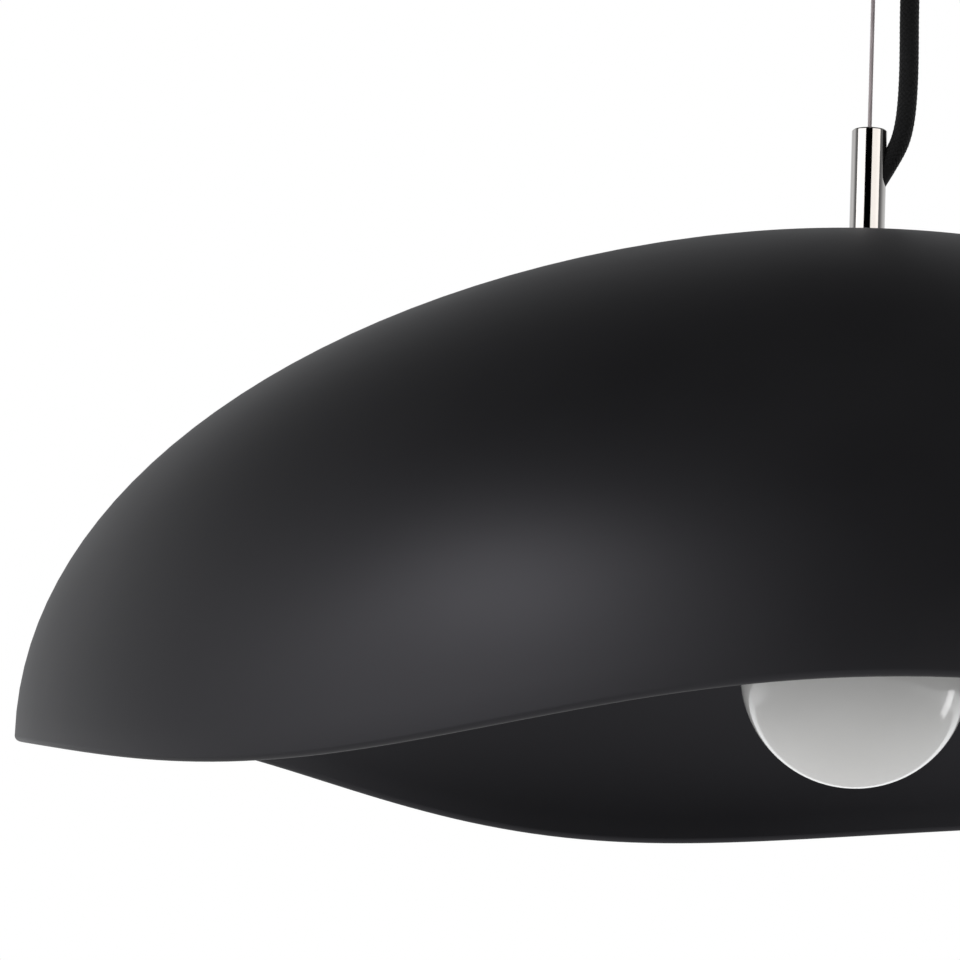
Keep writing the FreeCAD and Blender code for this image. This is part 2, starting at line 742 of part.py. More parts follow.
# ---------------------------------------------------------------- bulb
def bulb():
    """The opal globe bulb."""
    globe = size("globe_radius")
    join = math.radians(size("neck_join_angle"))
    neck = Vector(size("neck_radius"), 0, size("neck_height"))
    touch = Vector(math.sin(join), 0, math.cos(join))
    across = touch * globe - neck
    bend = -across.Length ** 2 / (2 * across.dot(touch))
    hub = touch * (globe + bend)

    def skin(inset):
        """The neck's hollow curve and the globe's round one, inset by the glass."""
        rise = math.acos((neck.x - inset - hub.x) / -(bend + inset))
        top = hub + Vector(-math.cos(rise), 0, math.sin(rise)) * (bend + inset)
        start = math.atan2(top.z - hub.z, top.x - hub.x)
        end = math.atan2(-touch.z, -touch.x) % (2 * math.pi)
        start = start % (2 * math.pi)
        middle = (start + end) / 2
        way = Vector(math.cos(middle), 0, math.sin(middle))
        radius = globe - inset
        meet = touch * radius
        down = (join + math.pi) / 2
        waist = Vector(math.sin(down), 0, math.cos(down)) * radius
        base = Vector(0, 0, -radius)
        return top, [
            Part.Arc(top, hub + way * (bend + inset), meet).toShape(),
            Part.Arc(meet, waist, base).toShape()], base

    outer_top, outer, outer_base = skin(0)
    inner_top, inner, inner_base = skin(size("glass_wall"))
    outline = Part.Wire(outer + [Part.LineSegment(outer_base, inner_base).toShape()]
                        + inner[::-1] + [Part.LineSegment(inner_top, outer_top).toShape()])
    glass = doc.addObject("Part::Feature", "bulb_globe")
    glass.Shape = Part.Face(outline).revolve(Vector(0, 0, 0), Vector(0, 0, 1), 360)
    move_to(glass, z=BULB_CENTRE)
    keep(glass, "bulb_globe")

    ring("bulb_shell", "bulb_cap_radius - bulb_cap_wall", "bulb_cap_radius",
         "bulb_cap_height - snug", z=NECK_TOP + " + snug")
    keep(turned_body("bulb_insulator", [
        ("0", "0"), ("bulb_cap_radius - 1", "0"), ("bulb_contact_radius + 0.5", "insulator_height"),
        ("0", "insulator_height")], z=NECK_TOP + " + bulb_cap_height"), "bulb_insulator")
    keep(turned_body("bulb_contact", [
        ("0", "0"), ("bulb_contact_radius", "0"),
        ("bulb_contact_radius - 1", "bulb_contact_height"), ("0", "bulb_contact_height")],
        z=NECK_TOP + " + bulb_cap_height + insulator_height"), "bulb_contact")
    keep(turned_body("bulb_stem", [
        ("0", "0"), ("3", "0"), ("4", "20"), ("neck_radius - 4", "42"), ("0", "42")],
        z=BULB_CENTRE), "bulb_stem")
    rods = []
    for index in range(4):
        angle = 90 * index + 45
        rod = cylinder("filament_%d" % index, "0.9", "30",
                       x="8 * cos(%d)" % angle, y="8 * sin(%d)" % angle,
                       z=BULB_CENTRE + " - 15")
        rods.append(rod)
    group("bulb_filaments", rods)


def check_and_write():
    """Stops on any failed or empty piece, then writes one STEP file for each piece."""
    for item in doc.Objects:
        if "Invalid" in item.State or "Error" in item.State:
            raise RuntimeError("%s is %s" % (item.Label, item.State))
    os.makedirs("parts", exist_ok=True)
    for piece in pieces:
        shape = piece.Shape
        if shape.isNull() or not shape.isValid() or not shape.Solids:
            raise RuntimeError("%s has no sound solid" % piece.Label)
        shape.exportStep("parts/%s.step" % piece.Label)
    print("%d pieces written" % len(pieces))


ceiling_fitting()
gripper()
gland()
suspension()
stem()
shade()
lampholder()
bulb()
doc.recompute()
check_and_write()
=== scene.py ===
"""Pendant ceiling light with a wavy-rimmed black dome: detailed pieces, finishes and studio.

Lengths are in metres and +Z is up. The origin is on the ceiling, at the middle of the mounting
strap, so the whole lamp hangs below Z = 0. Each sub-assembly is a class that holds its sizes.
"""

import enum
import json
import logging
import math
from dataclasses import dataclass, field
from typing import Callable, Dict, List, Sequence, Tuple

import bpy
import numpy as np
from mathutils import Matrix, Vector

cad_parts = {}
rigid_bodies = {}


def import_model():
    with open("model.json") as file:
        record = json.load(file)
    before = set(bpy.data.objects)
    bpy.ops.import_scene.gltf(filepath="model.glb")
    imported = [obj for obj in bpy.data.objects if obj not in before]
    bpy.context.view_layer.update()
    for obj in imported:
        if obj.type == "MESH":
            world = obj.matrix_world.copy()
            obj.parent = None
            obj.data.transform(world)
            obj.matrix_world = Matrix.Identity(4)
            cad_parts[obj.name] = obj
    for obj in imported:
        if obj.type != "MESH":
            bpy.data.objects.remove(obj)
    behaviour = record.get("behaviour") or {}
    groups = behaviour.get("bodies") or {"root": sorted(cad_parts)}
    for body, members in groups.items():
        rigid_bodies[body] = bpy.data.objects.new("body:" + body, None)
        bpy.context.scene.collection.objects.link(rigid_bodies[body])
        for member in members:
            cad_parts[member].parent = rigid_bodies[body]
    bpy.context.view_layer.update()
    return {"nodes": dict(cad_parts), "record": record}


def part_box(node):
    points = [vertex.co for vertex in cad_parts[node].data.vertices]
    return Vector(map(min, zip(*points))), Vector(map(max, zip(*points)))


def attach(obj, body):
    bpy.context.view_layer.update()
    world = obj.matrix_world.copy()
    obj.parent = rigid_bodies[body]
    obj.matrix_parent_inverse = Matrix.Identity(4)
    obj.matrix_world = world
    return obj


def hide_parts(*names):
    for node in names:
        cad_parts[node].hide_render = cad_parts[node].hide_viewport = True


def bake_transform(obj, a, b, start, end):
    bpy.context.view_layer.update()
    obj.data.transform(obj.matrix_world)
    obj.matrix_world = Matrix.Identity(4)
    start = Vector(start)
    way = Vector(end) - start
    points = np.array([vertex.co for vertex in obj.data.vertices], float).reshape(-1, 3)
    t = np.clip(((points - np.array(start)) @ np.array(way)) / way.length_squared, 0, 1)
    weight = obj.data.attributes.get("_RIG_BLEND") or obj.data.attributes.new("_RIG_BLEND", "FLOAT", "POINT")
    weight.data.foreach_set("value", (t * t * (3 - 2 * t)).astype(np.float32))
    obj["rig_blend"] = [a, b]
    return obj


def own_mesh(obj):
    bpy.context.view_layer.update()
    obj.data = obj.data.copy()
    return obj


for leftover in list(bpy.data.objects):
    bpy.data.objects.remove(leftover)
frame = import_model()

logging.basicConfig(level=logging.INFO, format="%(message)s")
log = logging.getLogger("pendant")

Outline = List[Tuple[float, float]]
Colour = Tuple[float, float, float]
GLASS_INDEX = 1.5


class Body(enum.Enum):
    """The moving bodies that pieces ride on."""

    CEILING = "ceiling_mount"
    SUSPENSION = "suspension"
    LAMP = "lamp"
    BULB = "bulb"


class Slot(enum.Enum):
    """The record's material slots that new pieces take their finish from."""

    LACQUER = "shade_black"
    NICKEL = "polished_nickel"
    CABLE = "steel_cable"
    TEXTILE = "black_textile"
    OPAL = "opal_glass"
    NYLON = "black_plastic"
    THERMOSET = "black_bakelite"
    SPRING = "spring_steel"
    BRASS = "brass"
    CAP_METAL = "bulb_metal"


# ---------------------------------------------------------------- node graphs
class Graph:
    """A small helper that fills one material's node tree."""

    def __init__(self, name: str) -> None:
        """Starts a material with a principled shader.

        Args:
            name: the material's name.
        """
        self.material = bpy.data.materials.new(name)
        self.material.use_nodes = True
        self.nodes = self.material.node_tree.nodes
        self.links = self.material.node_tree.links
        self.shader = self.nodes["Principled BSDF"]

    def add(self, kind: str, **values: object) -> bpy.types.Node:
        """Adds a node and sets its properties or input values.

        Args:
            kind: the node's type name, without the ShaderNode prefix.
            values: properties of the node, or inputs by name with _ for a space.

        Returns:
            The new node.
        """
        node = self.nodes.new("ShaderNode" + kind)
        for key, value in values.items():
            if hasattr(node, key):
                setattr(node, key, value)
            else:
                node.inputs[key.replace("_", " ")].default_value = value
        return node

    def join(self, source: bpy.types.NodeSocket, target: bpy.types.NodeSocket) -> None:
        """Links two sockets."""
        self.links.new(source, target)

    def set(self, **values: object) -> None:
        """Sets constants straight on the principled shader, with _ for a space."""
        for key, value in values.items():
            self.shader.inputs[key.replace("_", " ")].default_value = value

    def place(self, stretch: Tuple[float, float, float] = (1.0, 1.0, 1.0)) -> bpy.types.NodeSocket:
        """Object coordinates, stretched.

        Args:
            stretch: how much each axis is scaled.

        Returns:
            The coordinates' socket.
        """
        spot = self.add("TexCoord")
        mapping = self.add("Mapping")
        mapping.inputs["Scale"].default_value = stretch
        self.join(spot.outputs["Object"], mapping.inputs["Vector"])
        return mapping.outputs["Vector"]

    def noise(self, vector: bpy.types.NodeSocket, scale: float, detail: float = 3.0,
              rough: float = 0.5) -> bpy.types.NodeSocket:
        """A noise pattern's factor.

        Args:
            vector: the coordinates it reads.
            scale: features per metre.
            detail: octaves of finer noise.
            rough: how strong the finer octaves are.

        Returns:
            The factor's socket.
        """
        node = self.add("TexNoise", Scale=scale, Detail=detail, Roughness=rough)
        self.join(vector, node.inputs["Vector"])
        return node.outputs["Fac"]

    def span(self, value: bpy.types.NodeSocket, low: float, high: float,
             start: float = 0.3, end: float = 0.7) -> bpy.types.NodeSocket:
        """Maps a factor to a range.

        Args:
            value: the factor.
            low: the result at the factor's start.
            high: the result at the factor's end.
            start: the factor that gives low.
            end: the factor that gives high.

        Returns:
            The mapped socket.
        """
        node = self.add("MapRange")
        for key, number in zip((1, 2, 3, 4), (start, end, low, high)):
            node.inputs[key].default_value = number
        self.join(value, node.inputs[0])
        return node.outputs[0]

    def shades(self, value: bpy.types.NodeSocket, dark: Sequence[float], light: Sequence[float],
               start: float = 0.3, end: float = 0.7) -> bpy.types.NodeSocket:
        """Maps a factor to a colour between two.

        Args:
            value: the factor.
            dark: linear colour at the start.
            light: linear colour at the end.
            start: the factor of the dark colour.
            end: the factor of the light colour.

        Returns:
            The colour's socket.
        """
        ramp = self.add("ValToRGB")
        ramp.color_ramp.elements[0].position = start
        ramp.color_ramp.elements[1].position = end
        ramp.color_ramp.elements[0].color = (*dark, 1.0)
        ramp.color_ramp.elements[1].color = (*light, 1.0)
        self.join(value, ramp.inputs["Fac"])
        return ramp.outputs["Color"]

    def colour(self, socket: bpy.types.NodeSocket) -> None:
        """Sends a colour to the shader."""
        self.join(socket, self.shader.inputs["Base Color"])

    def gloss(self, socket: bpy.types.NodeSocket) -> None:
        """Sends a roughness to the shader."""
        self.join(socket, self.shader.inputs["Roughness"])

    def relief(self, heights: Sequence[Tuple[bpy.types.NodeSocket, float]]) -> None:
        """Chains bumps into the shader's normal.

        Args:
            heights: each height's socket and its depth in metres.
        """
        last = None
        for socket, depth in heights:
            bump = self.add("Bump", Strength=1.0, Distance=depth)
            self.join(socket, bump.inputs["Height"])
            if last is not None:
                self.join(last, bump.inputs["Normal"])
            last = bump.outputs["Normal"]
        self.join(last, self.shader.inputs["Normal"])


# ---------------------------------------------------------------- finishes
@dataclass(frozen=True)
class Lacquer:
    """Matt sprayed lacquer: fine orange peel, faint cloudiness and a soft sheen."""

    name: str
    dark: Colour = (0.0075, 0.0075, 0.0085)
    light: Colour = (0.0105, 0.0105, 0.0115)
    roughness: Tuple[float, float] = (0.46, 0.52)
    peel: float = 0.000012
    specular: float = 0.5
    cloud_scale: float = 9.0
    peel_scale: float = 620.0
    dust_scale: float = 2600.0
    dust_share: float = 0.4
    tint: Tuple[float, float, float, float] = (0.93, 0.91, 1.0, 1.0)

    def build(self) -> bpy.types.Material:
        """Makes the material and returns it."""
        graph = Graph(self.name)
        place = graph.place()
        cloud = graph.noise(place, self.cloud_scale, 4.0)
        peel = graph.noise(place, self.peel_scale, 2.0)
        dust = graph.noise(place, self.dust_scale, 2.0, 0.7)
        graph.colour(graph.shades(cloud, self.dark, self.light))
        graph.gloss(graph.span(cloud, self.roughness[0], self.roughness[1]))
        graph.relief([(peel, self.peel), (dust, self.peel * self.dust_share)])
        graph.set(Specular_IOR_Level=self.specular, IOR=GLASS_INDEX, Specular_Tint=self.tint)
        return graph.material


@dataclass(frozen=True)
class PlatedMetal:
    """Plated or polished metal, with fine streaks along the piece and faint smudges."""

    name: str
    dark: Colour
    light: Colour
    roughness: Tuple[float, float]
    streak: float = 0.0000015
    stretch: Tuple[float, float, float] = (1.0, 1.0, 0.06)
    streak_scale: float = 3800.0
    smudge_scale: float = 70.0

    def build(self) -> bpy.types.Material:
        """Makes the material and returns it."""
        graph = Graph(self.name)
        streaks = graph.noise(graph.place(self.stretch), self.streak_scale, 3.0, 0.6)
        smudge = graph.noise(graph.place(), self.smudge_scale, 4.0)
        graph.colour(graph.shades(smudge, self.dark, self.light))
        graph.gloss(graph.span(smudge, self.roughness[0], self.roughness[1]))
        graph.relief([(streaks, self.streak)])
        graph.set(Metallic=1.0)
        return graph.material


@dataclass(frozen=True)
class Spangle:
    """Zinc plate: metal with a faint crystal pattern and fine brushing."""

    name: str
    dark: Colour = (0.42, 0.42, 0.41)
    light: Colour = (0.62, 0.62, 0.60)
    roughness: Tuple[float, float] = (0.28, 0.42)
    crystal_scale: float = 420.0
    brush_scale: float = 5200.0
    brush_depth: float = 0.000003

    def build(self) -> bpy.types.Material:
        """Makes the material and returns it."""
        graph = Graph(self.name)
        place = graph.place()
        cells = graph.add("TexVoronoi", Scale=self.crystal_scale)
        graph.join(place, cells.inputs["Vector"])
        brushed = graph.noise(graph.place((1.0, 0.05, 1.0)), self.brush_scale, 2.0)
        graph.colour(graph.shades(cells.outputs["Distance"], self.light, self.dark, 0.1, 0.8))
        graph.gloss(graph.span(brushed, self.roughness[0], self.roughness[1]))
        graph.relief([(brushed, self.brush_depth)])
        graph.set(Metallic=1.0)
        return graph.material


@dataclass(frozen=True)
class Yarn:
    """Black textile yarn: fuzzy fibres with a soft sheen, and a few lighter ones."""

    name: str
    dark: Colour = (0.003, 0.003, 0.0034)
    light: Colour = (0.014, 0.014, 0.015)
    roughness: Tuple[float, float] = (0.72, 0.92)
    fibre_scale: float = 5200.0
    fibre_depth: float = 0.00007
    fleck_scale: float = 1500.0

    def build(self) -> bpy.types.Material:
        """Makes the material and returns it."""
        graph = Graph(self.name)
        fibres = graph.noise(graph.place((1.0, 1.0, 0.35)), self.fibre_scale, 3.0, 0.7)
        fleck = graph.noise(graph.place(), self.fleck_scale, 2.0, 0.6)
        graph.colour(graph.shades(fleck, self.dark, self.light, 0.35, 0.75))
        graph.gloss(graph.span(fibres, self.roughness[0], self.roughness[1]))
        graph.relief([(fibres, self.fibre_depth)])
        graph.set(Sheen_Weight=0.2, Sheen_Roughness=0.45, Specular_IOR_Level=0.25)
        return graph.material


@dataclass(frozen=True)
class OpalGlass:
    """Glossy white opal glass with faint milkiness."""

    name: str
    dark: Colour = (0.88, 0.875, 0.86)
    light: Colour = (0.92, 0.915, 0.90)
    roughness: Tuple[float, float] = (0.10, 0.16)
    milk_scale: float = 28.0
    gloss_scale: float = 180.0
    ripple_scale: float = 60.0
    ripple_depth: float = 0.00001

    def build(self) -> bpy.types.Material:
        """Makes the material and returns it."""
        graph = Graph(self.name)
        place = graph.place()
        milk = graph.noise(place, self.milk_scale, 4.0)
        graph.colour(graph.shades(milk, self.dark, self.light))
        graph.gloss(graph.span(graph.noise(place, self.gloss_scale, 2.0),
                               self.roughness[0], self.roughness[1]))
        graph.relief([(graph.noise(place, self.ripple_scale, 2.0), self.ripple_depth)])
        graph.set(Specular_IOR_Level=0.55, IOR=GLASS_INDEX, Coat_Weight=0.35,
                  Coat_Roughness=0.04)
        return graph.material


@dataclass(frozen=True)
class Moulding:
    """Moulded plastic, rubber, ceramic or insulation: a fine texture and faint mottling."""

    name: str
    dark: Colour
    light: Colour
    roughness: Tuple[float, float] = (0.4, 0.55)
    texture: float = 0.00001
    grain: float = 1400.0
    mottle_scale: float = 160.0

    def build(self) -> bpy.types.Material:
        """Makes the material and returns it."""
        graph = Graph(self.name)
        place = graph.place()
        mottle = graph.noise(place, self.mottle_scale, 4.0)
        graph.colour(graph.shades(mottle, self.dark, self.light))
        graph.gloss(graph.span(mottle, self.roughness[0], self.roughness[1]))
        graph.relief([(graph.noise(place, self.grain, 2.0), self.texture)])
        return graph.material


@dataclass(frozen=True)
class StripedInsulation:
    """Green insulation with a yellow stripe that winds round the core."""

    name: str
    green: Colour = (0.02, 0.20, 0.03)
    yellow: Colour = (0.70, 0.55, 0.03)
    roughness: Tuple[float, float] = (0.4, 0.5)
    stripe_scale: float = 42.0
    gloss_scale: float = 900.0
    grain: float = 1800.0
    texture: float = 0.00001

    def build(self) -> bpy.types.Material:
        """Makes the material and returns it."""
        graph = Graph(self.name)
        wave = graph.add("TexWave", Scale=self.stripe_scale, Distortion=0.6)
        wave.bands_direction = "DIAGONAL"
        graph.join(graph.place(), wave.inputs["Vector"])
        graph.colour(graph.shades(wave.outputs["Fac"], self.green, self.yellow, 0.62, 0.68))
        graph.gloss(graph.span(graph.noise(graph.place(), self.gloss_scale),
                               self.roughness[0], self.roughness[1]))
        graph.relief([(graph.noise(graph.place(), self.grain), self.texture)])
        return graph.material


@dataclass(frozen=True)
class ClearGlass:
    """Clear glass with faint draw lines."""

    name: str
    dark: Colour = (0.86, 0.90, 0.90)
    light: Colour = (0.95, 0.97, 0.97)
    roughness: Tuple[float, float] = (0.02, 0.06)
    line_scale: float = 700.0
    line_depth: float = 0.000005

    def build(self) -> bpy.types.Material:
        """Makes the material and returns it."""
        graph = Graph(self.name)
        lines = graph.noise(graph.place((1.0, 1.0, 0.1)), self.line_scale)
        graph.colour(graph.shades(lines, self.dark, self.light))
        graph.gloss(graph.span(lines, self.roughness[0], self.roughness[1]))
        graph.relief([(lines, self.line_depth)])
        graph.set(Transmission_Weight=0.9, IOR=GLASS_INDEX)
        return graph.material


def all_finishes() -> Dict[str, bpy.types.Material]:
    """Builds one material for each of the record's slots.

    Returns:
        The materials by slot name.
    """
    black = ((0.006, 0.006, 0.0065), (0.012, 0.012, 0.013))
    finishes = {
        "shade_black": Lacquer("matt black lacquer"),
        "canopy_black": Lacquer("satin black powder coat", roughness=(0.36, 0.44), peel=0.00002),
        "polished_nickel": PlatedMetal("polished nickel", (0.74, 0.715, 0.695),
                                       (0.79, 0.765, 0.745), (0.04, 0.075)),
        "steel_cable": PlatedMetal("stranded steel", (0.44, 0.39, 0.40), (0.66, 0.60, 0.61),
                                   (0.48, 0.62), 0.000004),
        "spring_steel": PlatedMetal("spring steel", (0.34, 0.34, 0.36), (0.46, 0.46, 0.48),
                                    (0.2, 0.3), 0.000003),
        "swaged_metal": PlatedMetal("swaged alloy", (0.52, 0.52, 0.53), (0.66, 0.66, 0.67),
                                    (0.3, 0.42), 0.000005, (1.0, 1.0, 0.3)),
        "bulb_metal": PlatedMetal("rolled cap metal", (0.58, 0.57, 0.55), (0.7, 0.69, 0.67),
                                  (0.22, 0.34), 0.000004, (0.08, 0.08, 1.0)),
        "brass": PlatedMetal("pressed brass", (0.52, 0.36, 0.14), (0.68, 0.49, 0.22),
                             (0.2, 0.36), 0.000004, (0.2, 1.0, 1.0)),
        "solder": PlatedMetal("solder", (0.44, 0.44, 0.46), (0.58, 0.58, 0.6),
                              (0.3, 0.5), 0.00002, (1.0, 1.0, 1.0)),
        "zinc_steel": Spangle("zinc plate"),
        "black_textile": Yarn("black braided yarn"),
        "opal_glass": OpalGlass("opal glass"),
        "black_plastic": Moulding("moulded nylon", *black, (0.42, 0.56), 0.00002),
        "black_bakelite": Moulding("black thermoset", *black, (0.2, 0.3), 0.000004, 500.0),
        "black_rubber": Moulding("soft rubber", *black, (0.7, 0.85), 0.00003),
        "white_plastic": Moulding("white polyamide", (0.62, 0.61, 0.56), (0.72, 0.71, 0.67)),
        "ceramic": Moulding("glazed ceramic", (0.66, 0.64, 0.58), (0.76, 0.74, 0.69),
                            (0.12, 0.22), 0.00001, 300.0),
        "black_glass": Moulding("black glass", *black, (0.06, 0.14), 0.000006, 400.0),
        "brown_insulation": Moulding("brown insulation", (0.11, 0.04, 0.015),
                                     (0.15, 0.06, 0.025)),
        "blue_insulation": Moulding("blue insulation", (0.012, 0.07, 0.34), (0.02, 0.10, 0.42)),
        "filament": Moulding("phosphor coat", (0.70, 0.52, 0.12), (0.82, 0.64, 0.2), (0.6, 0.75)),
        "earth_insulation": StripedInsulation("striped insulation"),
        "clear_glass": ClearGlass("clear glass"),
    }
    return {slot: finish.build() for slot, finish in finishes.items()}


# ---------------------------------------------------------------- modelling by hand
class Bench:
    """Edit-mode steps that several sub-assemblies share."""

    @staticmethod
    def clear() -> None:
        """Deselects every object."""
        bpy.ops.object.select_all(action="DESELECT")

    @staticmethod
    def adopt(piece: bpy.types.Object) -> bpy.types.Object:
        """Selects one piece alone, makes it active and returns it."""
        Bench.clear()
        piece.select_set(True)
        bpy.context.view_layer.objects.active = piece
        return piece

    @staticmethod
    def apply_all(piece: bpy.types.Object) -> None:
        """Applies every modifier on a piece, in order."""
        Bench.adopt(piece)
        for modifier in list(piece.modifiers):
            bpy.ops.object.modifier_apply(modifier=modifier.name)

    @staticmethod
    def settle(piece: bpy.types.Object) -> None:
        """Applies a piece's place, turn and scale to its mesh."""
        Bench.adopt(piece)
        bpy.ops.object.transform_apply(location=True, rotation=True, scale=True)

    @staticmethod
    def lathe(name: str, outline: Outline, steps: int = 96,
              x: float = 0.0) -> bpy.types.Object:
        """Draws a closed profile point by point and spins it round an upright axis.

        Args:
            name: the piece's name.
            outline: the profile's points, as radius and height.
            steps: how many steps the full turn has.
            x: the axis's place along X.

        Returns:
            The turned piece.
        """
        Bench.clear()
        bpy.ops.mesh.primitive_plane_add(size=0.002, location=(0.0, 0.0, 0.0))
        piece = bpy.context.object
        piece.name = name
        bpy.ops.object.mode_set(mode="EDIT")
        bpy.ops.mesh.select_all(action="SELECT")
        bpy.ops.mesh.merge(type="CENTER")
        bpy.ops.transform.translate(value=(outline[0][0], 0.0, outline[0][1]))
        path = list(outline) + [outline[0]]
        for here, there in zip(path, path[1:]):
            step = (there[0] - here[0], 0.0, there[1] - here[1])
            bpy.ops.mesh.extrude_region_move(TRANSFORM_OT_translate={"value": step})
        bpy.ops.mesh.select_all(action="SELECT")
        bpy.ops.mesh.remove_doubles(threshold=1e-6)
        bpy.ops.mesh.select_all(action="SELECT")
        bpy.ops.mesh.spin(steps=steps, angle=math.tau, center=(0.0, 0.0, 0.0),
                          axis=(0.0, 0.0, 1.0))
        bpy.ops.mesh.select_all(action="SELECT")
        bpy.ops.mesh.remove_doubles(threshold=2e-6)
        bpy.ops.mesh.normals_make_consistent(inside=False)
        if x:
            bpy.ops.transform.translate(value=(x, 0.0, 0.0))
        bpy.ops.object.mode_set(mode="OBJECT")
        return piece

    @staticmethod
    def soften(piece: bpy.types.Object, width: float, segments: int = 2,
               angle: float = 28.0) -> bpy.types.Object:
        """Rounds a piece's sharp edges and shades it smooth.

        Args:
            piece: the piece.
            width: the rounding's width.
            segments: how many steps the rounding has.
            angle: edges sharper than this are rounded, in degrees.

        Returns:
            The piece.
        """
        if width:
            bevel = piece.modifiers.new("edges", "BEVEL")
            bevel.width = width
            bevel.segments = segments
            bevel.limit_method = "ANGLE"
            bevel.angle_limit = math.radians(angle)
            bevel.use_clamp_overlap = True
        Bench.apply_all(piece)
        Bench.adopt(piece)
        bpy.ops.object.shade_smooth_by_angle(angle=math.radians(angle + 4.0))
        flatten = piece.modifiers.new("straight sides", "WEIGHTED_NORMAL")
        flatten.weight = 90
        flatten.keep_sharp = True
        Bench.apply_all(piece)
        return piece

    @staticmethod
    def reshape(piece: bpy.types.Object, move: Callable[[np.ndarray], np.ndarray]) -> None:
        """Moves a piece's points in code.

        Args:
            piece: the piece.
            move: takes the points as rows and returns their new places.
        """
        mesh = piece.data
        points = np.zeros(len(mesh.vertices) * 3)
        mesh.vertices.foreach_get("co", points)
        moved = move(points.reshape(-1, 3)).ravel()
        if len(moved) != len(points):
            raise ValueError(f"{piece.name} has {len(points) // 3} points, not {len(moved) // 3}")
        mesh.vertices.foreach_set("co", moved)
        mesh.update()

    @staticmethod
    def bore(piece: bpy.types.Object, start: Vector, end: Vector, radius: float) -> None:
        """Cuts a round hole through a piece.

        Args:
            piece: the piece.
            start: one end of the hole's axis.
            end: the other end.
            radius: the hole's radius.
        """
        Bench.clear()
        bpy.ops.mesh.primitive_cylinder_add(vertices=72, radius=radius,
                                            depth=(end - start).length,
                                            location=(start + end) / 2)
        drill = bpy.context.object
        drill.rotation_mode = "QUATERNION"
        drill.rotation_quaternion = (end - start).to_track_quat("Z", "Y")
        Bench.settle(drill)
        hole = piece.modifiers.new("hole", "BOOLEAN")
        hole.object = drill
        hole.operation = "DIFFERENCE"
        hole.solver = "EXACT"
        Bench.apply_all(piece)
        bpy.data.objects.remove(drill)

    @staticmethod
    def dress(piece: bpy.types.Object, material: bpy.types.Material, body: Body, slot: Slot,
              nodes: Sequence[str]) -> bpy.types.Object:
        """Gives a finished piece its material and body, and hides the CAD nodes it stands for.

        Args:
            piece: the piece.
            material: its finish.
            body: the body it rides on.
            slot: the record's slot; not used.
            nodes: the CAD nodes it stands for.

        Returns:
            The piece.
        """
        piece.data.materials.clear()
        piece.data.materials.append(material)
        if piece.get("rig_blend") is None:
            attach(piece, body.value)
        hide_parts(*nodes)
        log.info("built %s (%d faces)", piece.name, len(piece.data.polygons))
        return piece


# ---------------------------------------------------------------- studio
@dataclass
class Softbox:
    """One soft rectangular light that faces a point."""

    name: str
    place: Tuple[float, float, float]
    aim: Tuple[float, float, float]
    width: float
    height: float
    power: float
    tint: Tuple[float, float, float] = (1.0, 1.0, 1.0)

    def build(self) -> None:
        """Adds the light."""
        data = bpy.data.lights.new(self.name, "AREA")
        data.shape = "RECTANGLE"
        data.size = self.width
        data.size_y = self.height
        data.energy = self.power
        data.color = self.tint
        lamp = bpy.data.objects.new(self.name, data)
        bpy.context.scene.collection.objects.link(lamp)
        lamp.location = self.place
        way = Vector(self.aim) - Vector(self.place)
        lamp.rotation_mode = "QUATERNION"
        lamp.rotation_quaternion = way.to_track_quat("-Z", "Y")


